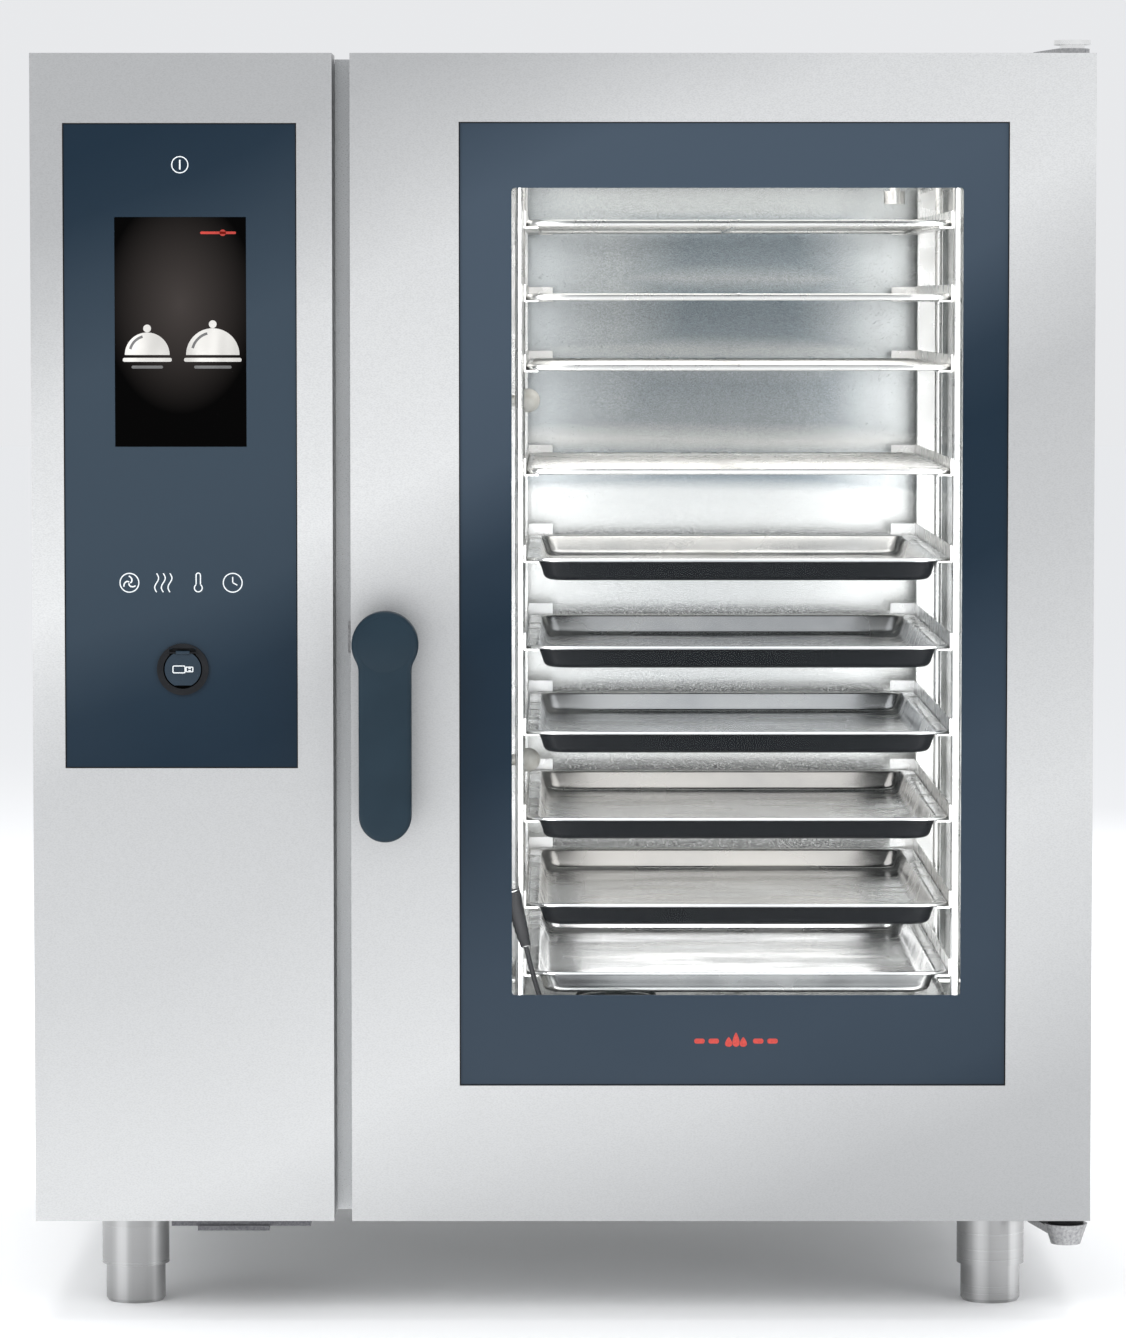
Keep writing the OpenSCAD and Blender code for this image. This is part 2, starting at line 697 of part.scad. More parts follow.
module door_liner() {
    lo = [door_x + sheet, bottom + sheet];
    hi = [right - sheet, top - sheet];
    color("silver") {
        difference() {
            block([lo[0], door_back - sheet, lo[1]], [hi[0], door_back, hi[1]]);
            block([window[0][0], door_back - 3, window[0][1]], [window[1][0], door_back + 1, window[1][1]]);
            rod_y(spindle_r + 0.2, handle_c[0], door_back - 3, door_back + 1, handle_c[1]);
        }
        // folded tunnel between the two panes, and the drip gutter under the window
        upright_frame(glass_y + 5, door_back - 7, window[0] + [2, 2], window[1] - [2, 2], sheet);
        block([-80, door_back, bottom + 14], [400, door_back + 5.5, bottom + 15]);
        block([-80, door_back + 4.5, bottom + 14], [400, door_back + 5.5, bottom + 30]);
    }
}

module door_outer_glass() {
    lo = rect_lo(glass_c, glass_size, 0);
    hi = rect_hi(glass_c, glass_size, 0);
    color("lightblue") block([lo[0], glass_y, lo[1]], [hi[0], glass_y + 5, hi[1]]);
}

module door_inner_glass() {
    color("lightblue") block([window[0][0] - 8, door_back - 7, window[0][1] - 8],
        [window[1][0] + 8, door_back - 2, window[1][1] + 8]);
}

module handle_lever() {
    color("darkslategray") difference() {
        union() {
            rod_y(head_r, handle_c[0], grip_back - grip_t, grip_back, handle_c[1]);
            rod_y(22, handle_c[0], grip_back - 1, front - 0.3, handle_c[1]);
            bar_z = handle_c[1] + head_r - handle_len + handle_w / 2;
            block([handle_c[0] - handle_w / 2, grip_back - grip_t, bar_z],
                [handle_c[0] + handle_w / 2, grip_back, handle_c[1]]);
            rod_y(handle_w / 2, handle_c[0], grip_back - grip_t, grip_back, bar_z);
        }
        rod_y(spindle_r, handle_c[0], grip_back - 8, front, handle_c[1]);
    }
}

module latch_hook() {
    y0 = door_back + 1;
    color("gray") {
        rod_y(spindle_r, handle_c[0], grip_back - 8, y0 + 4, handle_c[1]);
        rod_y(11, handle_c[0], y0, y0 + 4, handle_c[1]);
        block([handle_c[0] - 17, y0, handle_c[1] - 6], [handle_c[0], y0 + 4, handle_c[1] + 6]);
        rod_y(6, handle_c[0] - 17, y0, y0 + 4, handle_c[1]);
    }
}

module latch_striker() {
    color("silver") {
        rod_y(3.5, handle_c[0] - 27.5, door_back + 1, frame_y, handle_c[1]);
        block([handle_c[0] - 36, frame_y - 1.5, handle_c[1] - 14], [handle_c[0] - 22, frame_y, handle_c[1] + 14]);
    }
}

// ---- assembly ------------------------------------------------------------------------------

base_pan();
foot_sleeves();
foot_legs();
left_side_panel();
right_side_panel();
rear_panel();
roof_panel();
front_frame();
cavity_shell();
insulation();
control_fascia();
control_glass();
display_screen();
usb_port();
usb_hinge_pin();
control_board();
air_baffle();
baffle_knobs();
fan_motor();
heating_coils();
drain_sieve();
quench_box();
exhaust_pipe();
water_valves();
cavity_lamp();
lamp_lens();
wash_nozzle();
rack_left();
rack_right();
wire_shelf(0);  // wire_shelf_1
wire_shelf(1);  // wire_shelf_2
wire_shelf(2);  // wire_shelf_3
wire_shelf(3);  // wire_shelf_4
tray(shelf_count);  // tray_1
tray(shelf_count + 1);  // tray_2
tray(shelf_count + 2);  // tray_3
tray(shelf_count + 3);  // tray_4
tray(shelf_count + 4);  // tray_5
tray(shelf_count + 5);  // tray_6
probe_gland();
probe_cable();
core_probe();
door_gasket();
hinge_bracket_top();
hinge_bracket_bottom();
hinge_pins();
latch_striker();
cable_gland();
door_shell();
door_liner();
door_outer_glass();
door_inner_glass();
hinge_bushes();
handle_lever();
latch_hook();
usb_cover();
fan_wheel();
fan_shaft();
intake_filter();
steam_damper();
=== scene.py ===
"""Combi steamer oven: surfaces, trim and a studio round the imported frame, in metres."""

import json
import math

import bmesh
import bpy
import numpy as np
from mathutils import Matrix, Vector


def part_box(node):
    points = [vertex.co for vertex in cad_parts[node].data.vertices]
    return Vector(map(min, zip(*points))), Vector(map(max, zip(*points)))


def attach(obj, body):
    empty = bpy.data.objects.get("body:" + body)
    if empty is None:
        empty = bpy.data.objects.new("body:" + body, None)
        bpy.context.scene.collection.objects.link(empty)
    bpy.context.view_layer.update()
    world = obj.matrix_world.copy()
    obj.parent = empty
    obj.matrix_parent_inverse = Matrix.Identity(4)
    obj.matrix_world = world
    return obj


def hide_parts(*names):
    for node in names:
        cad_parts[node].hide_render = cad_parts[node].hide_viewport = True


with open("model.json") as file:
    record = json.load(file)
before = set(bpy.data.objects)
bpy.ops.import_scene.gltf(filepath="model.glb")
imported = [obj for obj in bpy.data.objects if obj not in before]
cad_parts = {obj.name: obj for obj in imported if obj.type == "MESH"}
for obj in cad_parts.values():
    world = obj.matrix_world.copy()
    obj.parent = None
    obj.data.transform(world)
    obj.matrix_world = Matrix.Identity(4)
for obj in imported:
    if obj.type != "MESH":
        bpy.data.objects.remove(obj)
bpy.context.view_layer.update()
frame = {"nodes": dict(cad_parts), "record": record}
nodes = frame["nodes"]


# ---- Studio --------------------------------------------------------------------------------
# A pale round floor under a white room, with soft boxes in front, above and behind.
# The camera stands 5 m off at chest height, looking a few degrees down at the door.

eye = (0.0, -5.394, 0.894)
look_down = 3.67
camera = bpy.data.objects.new("camera", bpy.data.cameras.new("camera"))
camera.location = eye
camera.rotation_euler = (math.radians(90 - look_down), 0, 0)
camera.data.sensor_width = 36
camera.data.lens = 154.6
bpy.context.scene.collection.objects.link(camera)
bpy.context.scene.camera = camera
bpy.context.scene.view_settings.view_transform = "Standard"

room = bpy.data.worlds.new("room")
room.use_nodes = True
room.node_tree.nodes["Background"].inputs["Color"].default_value = (0.94, 0.95, 0.97, 1)
room.node_tree.nodes["Background"].inputs["Strength"].default_value = 0.86
bpy.context.scene.world = room


def soft_box(name, place, aim, size, watts, colour=(1, 1, 1), mirrored=False):
    """A rectangular lamp at a place, turned so that it faces the point it aims at. The camera
    never sees it; bright metal does where it is mirrored."""
    lamp = bpy.data.objects.new(name, bpy.data.lights.new(name, "AREA"))
    lamp.data.shape = "RECTANGLE"
    lamp.data.size, lamp.data.size_y = size
    lamp.data.energy = watts
    lamp.data.color = colour
    lamp.location = place
    way = type(lamp.location)(aim) - lamp.location
    lamp.rotation_euler = way.to_track_quat("-Z", "Y").to_euler()
    lamp.visible_camera = False
    lamp.visible_glossy = mirrored
    bpy.context.scene.collection.objects.link(lamp)
    return lamp


soft_box("key", (-2.6, -3.2, 2.6), (0, 0, 0.6), (1.6, 2.2), 90)
soft_box("fill", (2.8, -2.6, 1.4), (0, 0, 0.6), (1.2, 1.8), 28)
soft_box("overhead", (0, 0.2, 3.0), (0, 0, 0.9), (2.2, 1.6), 45)
soft_box("rim", (1.6, 3.0, 2.2), (0, 0.4, 0.6), (1.6, 1.6), 50)


def net(rows, columns, ring=False):
    """Faces of a grid of points numbered row by row: each joins a point, the next one in its
    row and the two below them. In a ring the last column joins the first again."""
    i = np.arange(rows - 1)[:, None]
    j = np.arange(columns if ring else columns - 1)[None, :]
    beside = (j + 1) % columns
    corners = [i * columns + j, i * columns + beside, (i + 1) * columns + beside, (i + 1) * columns + j]
    return np.stack(corners, -1).reshape(-1, 4)


floor_radius = 30.0
turn = np.linspace(0, 2 * math.pi, 96, endpoint=False)
reach = np.array([0.0, 1.0, 4.0, 12.0, floor_radius])[:, None]
disc = np.stack([reach * np.cos(turn), reach * np.sin(turn), 0 * reach * turn], -1).reshape(-1, 3)
floor = bpy.data.objects.new("floor", bpy.data.meshes.new("floor"))
floor.data.from_pydata(disc.tolist(), [], net(len(reach), len(turn), ring=True)[:, ::-1].tolist())
bpy.context.scene.collection.objects.link(floor)
paper = bpy.data.materials.new("paper")
paper.use_nodes = True
paper_sockets = paper.node_tree.nodes["Principled BSDF"].inputs
paper_sockets["Base Color"].default_value = (0.94, 0.945, 0.95, 1)
paper_sockets["Roughness"].default_value = 0.9
paper_sockets["Specular IOR Level"].default_value = 0.0
paper_sockets["Emission Color"].default_value = (1, 1, 1, 1)
paper_sockets["Emission Strength"].default_value = 0.045
floor.data.materials.append(paper)


# ---- Core probe and its cable --------------------------------------------------------------
# A needle with a moulded grip, parked in a holder at the left of the chamber's mouth. Its
# silicone cable leaves a steel gland in the chamber's floor and snakes over the floor to it.

cable_route = [
    (-45, -140, 246), (-45, -152, 246), (-45, -168, 243), (-45, -190, 240.6), (-45, -215, 240.6),
    (-38, -240, 240.6), (-15, -252, 240.6), (8, -240, 240.6), (15, -215, 240.6), (15, -150, 240.6),
    (15, -70, 240.6), (15, 0, 240.6), (24, 28, 240.6), (50, 40, 240.6), (76, 28, 240.6), (85, 0, 240.6),
    (85, -75, 240.6), (85, -150, 240.6), (85, -225, 240.6), (78, -275, 240.6), (55, -303, 240.6),
    (28, -316, 240.6), (6, -318, 243), (-9, -318, 253), (-19, -318, 272), (-27, -318, 298), (-33, -318, 322),
]
cable_width = 0.0045


def through(points, steps):
    """Smooth curve through points: within each stretch, the two ends and their two outer
    neighbours are blended by the four Catmull-Rom cubics of the share t of the stretch."""
    points = np.asarray(points, float)
    around = np.concatenate([points[:1], points, points[-1:]])
    t = np.linspace(0, 1, steps, endpoint=False)[None, :, None]
    a, b, c, d = (around[k:len(points) - 1 + k, None, :] for k in range(4))
    bent = 2 * b + (c - a) * t + (2 * a - 5 * b + 4 * c - d) * t**2 + (3 * b - a - 3 * c + d) * t**3
    return np.concatenate([0.5 * bent.reshape(-1, points.shape[1]), points[-1:]])


def finish_of(name, colour, roughness, metallic=0.0, **sockets):
    """A new material whose even values sit on its shader's own sockets."""
    made = bpy.data.materials.new(name)
    made.use_nodes = True
    shader = made.node_tree.nodes["Principled BSDF"]
    shader.inputs["Base Color"].default_value = (*colour, 1)
    shader.inputs["Roughness"].default_value = roughness
    shader.inputs["Metallic"].default_value = metallic
    for socket, value in sockets.items():
        shader.inputs[socket.replace("_", " ")].default_value = value
    made.diffuse_color = (*colour, 1)
    return made


def grain(made, scale, stretch=(1, 1, 1), detail=2.0, lean=0.0):
    """Noise on the piece's own coordinates, stretched and leant about Y; returns its 0 to 1 socket."""
    tree = made.node_tree
    place = tree.nodes.new("ShaderNodeTexCoord")
    turned = tree.nodes.new("ShaderNodeMapping")
    turned.inputs["Scale"].default_value = stretch
    turned.inputs["Rotation"].default_value = (0, math.radians(lean), 0)
    noise = tree.nodes.new("ShaderNodeTexNoise")
    noise.inputs["Scale"].default_value = scale
    noise.inputs["Detail"].default_value = detail
    tree.links.new(place.outputs["Object"], turned.inputs["Vector"])
    tree.links.new(turned.outputs["Vector"], noise.inputs["Vector"])
    return noise.outputs["Fac"]


def span(made, socket, low, high, start=0.3, end=0.7):
    """Maps a socket's values between start and end onto low to high, held at both ends."""
    ranged = made.node_tree.nodes.new("ShaderNodeMapRange")
    for name, value in zip(("From Min", "From Max", "To Min", "To Max"), (start, end, low, high)):
        ranged.inputs[name].default_value = value
    made.node_tree.links.new(socket, ranged.inputs["Value"])
    return ranged.outputs["Result"]


def tint(made, socket, dark, light, start=0.3, end=0.7):
    """Drives the base colour from dark to light as the socket goes from start to end."""
    blend = made.node_tree.nodes.new("ShaderNodeMix")
    blend.data_type = "RGBA"
    blend.inputs["A"].default_value = (*dark, 1)
    blend.inputs["B"].default_value = (*light, 1)
    made.node_tree.links.new(span(made, socket, 0, 1, start, end), blend.inputs["Factor"])
    shader = made.node_tree.nodes["Principled BSDF"]
    made.node_tree.links.new(blend.outputs["Result"], shader.inputs["Base Color"])
    return blend


def roughen(made, socket, low, high):
    """Lets the roughness wander between low and high with the socket."""
    shader = made.node_tree.nodes["Principled BSDF"]
    made.node_tree.links.new(span(made, socket, low, high), shader.inputs["Roughness"])


def relief(made, socket, height, strength=0.5):
    """Raises the surface by up to height, in metres, where the socket is high."""
    bump = made.node_tree.nodes.new("ShaderNodeBump")
    bump.inputs["Strength"].default_value = strength
    bump.inputs["Distance"].default_value = height
    made.node_tree.links.new(socket, bump.inputs["Height"])
    shader = made.node_tree.nodes["Principled BSDF"]
    made.node_tree.links.new(bump.outputs["Normal"], shader.inputs["Normal"])


def dress(finish, *names):
    """Gives CAD nodes their finish."""
    for name in names:
        mesh = nodes[name].data
        mesh.materials.clear()
        mesh.materials.append(finish)


silicone = finish_of("black_silicone", (0.010, 0.010, 0.011), 0.55, Specular_IOR_Level=0.15)
silicone_bloom = grain(silicone, 90, detail=4)
tint(silicone, silicone_bloom, (0.006, 0.006, 0.007), (0.015, 0.015, 0.016))
roughen(silicone, silicone_bloom, 0.45, 0.68)
relief(silicone, grain(silicone, 2200), 0.0002, 0.3)

cable_line = through(np.array(cable_route) / 1000, 6)
cable_curve = bpy.data.curves.new("probe_cable_line", "CURVE")
cable_curve.dimensions = "3D"
cable_curve.bevel_depth = cable_width / 2
cable_curve.bevel_resolution = 4
cable_curve.use_fill_caps = True
cable_spline = cable_curve.splines.new("POLY")
cable_spline.points.add(len(cable_line) - 1)
cable_spline.points.foreach_set("co", np.c_[cable_line, np.ones(len(cable_line))].ravel())
cable_curve.materials.append(silicone)
probe_cord = bpy.data.objects.new("probe_cord", cable_curve)
bpy.context.scene.collection.objects.link(probe_cord)
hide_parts("probe_cable")
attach(probe_cord, "casing")


def build(name, parts, finish, body, stands_for=(), smooth=True, sharp=40):
    """One closed piece from (points, faces) parts: equal points are merged, faces turned
    outwards, and edges sharper than the given angle stay crisp."""
    mesh = bpy.data.meshes.new(name)
    counts = np.cumsum([0] + [len(points) for points, _ in parts])
    every = np.concatenate([np.asarray(points, float) for points, _ in parts])
    faces = [row for (_, made), first in zip(parts, counts) for row in (made + first).tolist()]
    mesh.from_pydata(every.tolist(), [], faces)
    work = bmesh.new()
    work.from_mesh(mesh)
    bmesh.ops.remove_doubles(work, verts=work.verts, dist=1e-6)
    bmesh.ops.recalc_face_normals(work, faces=work.faces)
    work.to_mesh(mesh)
    work.free()
    if smooth:
        mesh.shade_smooth()
        mesh.set_sharp_from_angle(angle=math.radians(sharp))
    mesh.materials.append(finish)
    piece = bpy.data.objects.new(name, mesh)
    bpy.context.scene.collection.objects.link(piece)
    if stands_for:
        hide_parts(*stands_for)
    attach(piece, body)
    return piece


def turned(profile, base, axis=(0, 0, 1), sides=32):
    """Surface of revolution: every (radius, height) point of the profile becomes a circle of
    that radius, square to the axis at that height above the base."""
    axis = np.asarray(axis, float) / np.linalg.norm(axis)
    side = np.cross(axis, np.eye(3)[np.argmin(np.abs(axis))])
    side /= np.linalg.norm(side)
    other = np.cross(axis, side)
    profile = np.asarray(profile, float)
    angle = np.linspace(0, 2 * math.pi, sides, endpoint=False)
    spoke = np.cos(angle)[:, None] * side + np.sin(angle)[:, None] * other
    points = np.asarray(base) + profile[:, None, 1:] * axis + profile[:, None, :1] * spoke
    return points.reshape(-1, 3), net(len(profile), sides, ring=True)


steel_rod = finish_of("rack_steel", (0.8, 0.8, 0.79), 0.16, 1.0)
rod_haze = grain(steel_rod, 40, detail=3)
tint(steel_rod, rod_haze, (0.86, 0.86, 0.85), (0.94, 0.94, 0.93))
roughen(steel_rod, rod_haze, 0.22, 0.36)

grip_base = np.array((-0.033, -0.318, 0.322))
grip_lean = (-13.0, 0.0, 49.0)
grip_way = np.array(grip_lean) / np.linalg.norm(grip_lean)
grip_length = 0.0507
swell = 0.0030
rib_places = np.linspace(0.006, 0.034, 11)
ribs = [(0.0047 + swell * h / grip_length + (0.0006 if k % 2 else 0), h) for k, h in enumerate(rib_places)]
grip_profile = [(0, -0.0006), (0.0038, -0.0006), (0.0047, 0.0003), (0.0049, 0.004), *ribs, (0.0074, 0.040),
                (0.0080, 0.045), (0.0080, 0.0492), (0.0070, 0.0512), (0.0032, 0.0518), (0, 0.0518)]
probe_grip = build("probe_grip", [turned(grip_profile, grip_base, grip_way)], silicone, "casing")
dress(steel_rod, "core_probe", "probe_gland")


# ---- Sheet steel casing --------------------------------------------------------------------
# Folded 1.5 mm stainless sheet, ground with a fine belt: a short horizontal grain under broad
# pale and grey bands of painted reflection that lean across the panels.

def sheen(made, tones, waver=0.025, across=(-0.45, 0.35, 1.0), start=0.147):
    """Painted reflection and light in broad bands across a direction: a point's distance along it,
    past the start, wavers a little and is looked up in (level, share). The casing's bands rise to the right
    and back."""
    tree = made.node_tree
    place = tree.nodes.new("ShaderNodeTexCoord")
    along = tree.nodes.new("ShaderNodeVectorMath")
    along.operation = "DOT_PRODUCT"
    along.inputs[1].default_value = across
    tree.links.new(place.outputs["Object"], along.inputs[0])
    wavered = tree.nodes.new("ShaderNodeMath")
    wavered.operation = "ADD"
    tree.links.new(along.outputs["Value"], wavered.inputs[0])
    slow_noise = grain(made, 2.5, detail=1)
    tree.links.new(span(made, slow_noise, start - waver, start + waver), wavered.inputs[1])
    lookup = tree.nodes.new("ShaderNodeValToRGB")
    lowest, highest = tones[0][0], tones[-1][0]
    tree.links.new(span(made, wavered.outputs["Value"], 0, 1, lowest, highest), lookup.inputs["Fac"])
    stops = lookup.color_ramp.elements
    while len(stops) < len(tones):
        stops.new(0.5)
    for stop, (level, share) in zip(stops, tones):
        stop.position = (level - lowest) / (highest - lowest)
        stop.color = (share, share, share, 1)
    return lookup.outputs["Color"]


def belt_ground(name, dark, light, roughness, bands, relief_height=0.00004):
    """Ground sheet: broad soft bands, which are painted light on the casing and the chamber and
    random tone elsewhere, each point of them then speckled by the belt's short grain.
    """
    made = finish_of(name, light, roughness, 1.0)
    banded = tint(made, bands(made), dark, light, 0, 1)
    specks = grain(made, 620, (1, 1, 2.3), 3)
    speckled = made.node_tree.nodes.new("ShaderNodeMix")
    speckled.data_type = "RGBA"
    speckled.blend_type = "MULTIPLY"
    speckled.inputs["Factor"].default_value = 1.0
    made.node_tree.links.new(banded.outputs["Result"], speckled.inputs["A"])
    made.node_tree.links.new(span(made, specks, 0.88, 1.0, 0.32, 0.6), speckled.inputs["B"])
    shader = made.node_tree.nodes["Principled BSDF"]
    made.node_tree.links.new(speckled.outputs["Result"], shader.inputs["Base Color"])
    roughen(made, specks, roughness - 0.05, roughness + 0.07)
    relief(made, specks, relief_height, 0.4)
    return made


def room_reflection_bands(made):
    """Painted reflection of the pale and the dim walls of a room on the casing: (level, share of pale)."""
    return sheen(made, [(-0.10, 0.0), (0.04, 0.10), (0.16, 0.42), (0.27, 0.60), (0.42, 0.45), (0.50, 0.38),
                        (0.66, 0.35), (0.74, 0.60), (0.82, 0.92), (0.90, 0.86), (1.00, 0.78), (1.08, 0.45),
                        (1.16, 0.22), (1.25, 0.20)])


# Painted reflection: the casing panels' broad pale and grey bands.
panel_steel = belt_ground("brushed_panel", (0.46, 0.465, 0.47), (0.90, 0.905, 0.90), 0.42, room_reflection_bands)
dress(panel_steel, "base_pan", "left_side_panel", "right_side_panel", "rear_panel", "roof_panel",
      "control_fascia", "door_shell")
inner_steel = belt_ground("cavity_steel", (0.42, 0.43, 0.44), (0.70, 0.71, 0.71), 0.3,
                          lambda made: grain(made, 3.0, (0.55, 1, 1.5), 1.0))
dress(inner_steel, "front_frame", "door_liner", "air_baffle")


# ---- Feet ----------------------------------------------------------------------------------
# Four turned steel legs slide in round sleeves under the pan. They are screwed up and down
# to level the oven. Upright bands of painted highlight run down them, over the lathe's fine rings.

foot_steel = finish_of("foot_steel", (0.5, 0.5, 0.5), 0.3, 1.0)
foot_radius = 0.030
# Painted highlights: bright upright bands across each foot, looked up by X.
foot_highlight_bands = [(-1.0, 0.25), (-0.62, 0.28), (-0.42, 0.80), (-0.22, 0.70), (-0.12, 0.25), (0.48, 0.28),
              (0.60, 0.95), (0.74, 0.70), (0.86, 0.45), (1.0, 0.1)]
foot_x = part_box("foot_sleeves")[1].x - foot_radius
foot_highlight_tones = [(side * foot_x + foot_radius * offset, share)
              for side in (-1, 1) for offset, share in foot_highlight_bands]
foot_highlights = sheen(foot_steel, foot_highlight_tones, 0.0005, (1, 0, 0), 0)
tint(foot_steel, foot_highlights, (0.26, 0.26, 0.26), (0.66, 0.66, 0.66), 0, 1)
roughen(foot_steel, grain(foot_steel, 30, (0.05, 0.05, 30), 3), 0.26, 0.36)
dress(foot_steel, "foot_sleeves", "foot_legs")


# ---- Fixing screws -------------------------------------------------------------------------
# Low button heads hold the rear panel and the roof to the folded edges. Each is a domed
# stainless disc with a hollow for the driver.

screw_profile = [(0, 0.0008), (0.0016, 0.0008), (0.0019, 0.0021), (0.0030, 0.0022), (0.0042, 0.0015),
                 (0.0046, 0.0004), (0.0046, -0.0006), (0, -0.0006)]
rear_lo, rear_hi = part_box("rear_panel")
roof_lo, roof_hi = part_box("roof_panel")
edge = 0.014
roof_front = 0.05
rear_xs = np.linspace(rear_lo.x + edge, rear_hi.x - edge, 5)
rear_zs = np.linspace(rear_lo.z + edge, rear_hi.z - edge, 5)
rear_spots = [(x, rear_hi.y, z) for x in rear_xs for z in rear_zs
              if x in (rear_xs[0], rear_xs[-1]) or z in (rear_zs[0], rear_zs[-1])]
roof_ys = np.linspace(roof_lo.y + roof_front, roof_hi.y - edge, 4)
roof_spots = [(x, y, roof_hi.z) for x in (roof_lo.x + edge, roof_hi.x - edge) for y in roof_ys]
rear_heads = [turned(screw_profile, spot, (0, 1, 0), 16) for spot in rear_spots]
roof_heads = [turned(screw_profile, spot, (0, 0, 1), 16) for spot in roof_spots]
build("fixing_screws", rear_heads + roof_heads, steel_rod, "casing")


# ---- Cooking chamber -----------------------------------------------------------------------
# A welded box of bright stainless sheet, polished by use and lit from its ceiling, with painted
# light and shade in level bands on its walls. A steel baffle on the left covers the fan and the
# heating rings, and two white knobs hold it.

def wall_light_and_shade(made):
    """Painted light and shade in level bands, pale over each shelf and dim in the shade under the
    next, fading into pale sides: the larger of a lookup by height and of the distance from the chamber's
    middle."""
    tree = made.node_tree
    light_by_height = sheen(made, [(0.24, 0.9), (0.66, 0.85), (0.705, 0.80), (0.72, 0.08), (0.735, 0.12),
                             (0.755, 0.85), (0.775, 0.30), (0.81, 0.22), (0.845, 0.50), (0.86, 0.06),
                             (0.90, 0.04), (0.915, 0.35), (0.93, 0.06), (0.965, 0.05), (0.98, 0.40),
                             (1.04, 0.55)], 0.003, (0, 0, 1), 0)
    light_by_side = sheen(made, [(-0.08, 0.42), (0.05, 0.36), (0.13, 0.0), (0.22, 0.0), (0.30, 0.45), (0.40, 0.75)],
                    0.01, (1, 0, 0), 0)
    larger = tree.nodes.new("ShaderNodeMath")
    larger.operation = "MAXIMUM"
    tree.links.new(light_by_height, larger.inputs[0])
    tree.links.new(light_by_side, larger.inputs[1])
    return larger.outputs["Value"]


# Painted light and shade: the chamber's level bands and pale sides.
chamber_steel = belt_ground("chamber_steel", (0.25, 0.30, 0.335), (0.90, 0.90, 0.88), 0.22, wall_light_and_shade,
                            0.00001)
dress(chamber_steel, "cavity_shell")
dress(steel_rod, "rack_left", "rack_right", "wash_nozzle", "drain_sieve", "hinge_pins")

knob_white = finish_of("knob_white", (0.8, 0.8, 0.76), 0.35)
tint(knob_white, grain(knob_white, 120, detail=4), (0.66, 0.64, 0.58), (0.86, 0.86, 0.82))
dress(knob_white, "baffle_knobs")

lamp_glass = finish_of("lamp_glass", (0.92, 0.94, 0.96), 0.2, Alpha=0.6)
relief(lamp_glass, grain(lamp_glass, 260), 0.0006, 0.6)
tint(lamp_glass, grain(lamp_glass, 30), (0.86, 0.88, 0.90), (0.97, 0.97, 0.95))
dress(lamp_glass, "lamp_lens")

# The glow of the ceiling lamp between the bright walls: a panel under the ceiling, one behind
# each rack, one low in the mouth, and a strip in front of each rack.
wall_lo, wall_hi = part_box("cavity_shell")
mouth_x = (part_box("rack_left")[0].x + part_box("rack_right")[1].x) / 2
mouth_y = -0.337
mouth_z = (wall_lo.z + wall_hi.z) / 2
low_z = 0.50
panel_gap = 0.004
wall_gap = 0.012
warm = (1.0, 0.97, 0.93)
cool = (0.94, 0.97, 1.0)
white = (1, 1, 1)
ceiling_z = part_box("lamp_lens")[0].z - panel_gap
soft_box("chamber_top", (mouth_x, -0.06, ceiling_z), (mouth_x, -0.06, 0), (0.34, 0.42), 1.1, warm, True)
soft_box("chamber_mouth", (mouth_x, mouth_y + 0.001, low_z), (mouth_x, 0.25, low_z), (0.43, 0.50), 0.95,
         cool, True)
for name, side in (("rack_left", -1), ("rack_right", 1)):
    lo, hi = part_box(name)
    x = lo.x - wall_gap if side < 0 else hi.x + wall_gap
    soft_box("chamber_" + name, (x, -0.04, mouth_z), (mouth_x, -0.04, mouth_z), (0.46, 0.70), 1.1, warm, True)
    x = (lo.x + hi.x) / 2
    soft_box("edge_" + name, (x, mouth_y, mouth_z), (x, 0, mouth_z), (0.045, 0.74), 0.45, white, True)


# ---- Wire shelves --------------------------------------------------------------------------
# Each shelf is one 6 mm stainless rod bent into a frame, with twenty thin wires welded across
# it and one bar under them down the middle.

def rounded(half_x, half_y, corner, arc=6, side=1):
    """Rectangle with round corners, anticlockwise: a quarter circle at each corner, then
    evenly spaced points along the straight to the next one."""
    quarter = np.linspace(0, math.pi / 2, arc)
    loops = []
    for k, (sx, sy) in enumerate(((1, 1), (-1, 1), (-1, -1), (1, -1))):
        middle = np.array((sx * (half_x - corner), sy * (half_y - corner)))
        facing = quarter + k * math.pi / 2
        bend = middle + corner * np.stack([np.cos(facing), np.sin(facing)], -1)
        nx, ny = ((-1, 1), (-1, -1), (1, -1), (1, 1))[k]
        after = k * math.pi / 2 + math.pi / 2
        start = np.array((nx * (half_x - corner), ny * (half_y - corner))) + corner * np.array(
            (math.cos(after), math.sin(after)))
        share = np.linspace(0, 1, side + 1)[1:-1, None]
        loops += [bend, bend[-1] + share * (start - bend[-1])]
    return np.concatenate(loops)


def rod(path, radius, sides=10, ring=False, up=(0, 0, 1)):
    """Round bar: at each point of the path a circle square to the path's direction, found from
    its neighbours; an open bar is closed by a point at each end."""
    path = np.asarray(path, float)
    if ring:
        way = np.roll(path, -1, 0) - np.roll(path, 1, 0)
    else:
        way = np.gradient(path, axis=0)
    way /= np.linalg.norm(way, axis=1, keepdims=True)
    side = np.cross(way, np.asarray(up, float))
    side /= np.linalg.norm(side, axis=1, keepdims=True)
    other = np.cross(side, way)
    angle = np.linspace(0, 2 * math.pi, sides, endpoint=False)[None, :, None]
    rings = path[:, None] + radius * (np.cos(angle) * side[:, None] + np.sin(angle) * other[:, None])
    if ring:
        rings = np.concatenate([rings, rings[:1]])
    else:
        ends = [np.repeat(path[k][None, None], sides, 1) for k in (0, -1)]
        rings = np.concatenate([ends[0], rings, ends[1]])
    return rings.reshape(-1, 3), net(len(rings), sides, ring=True)


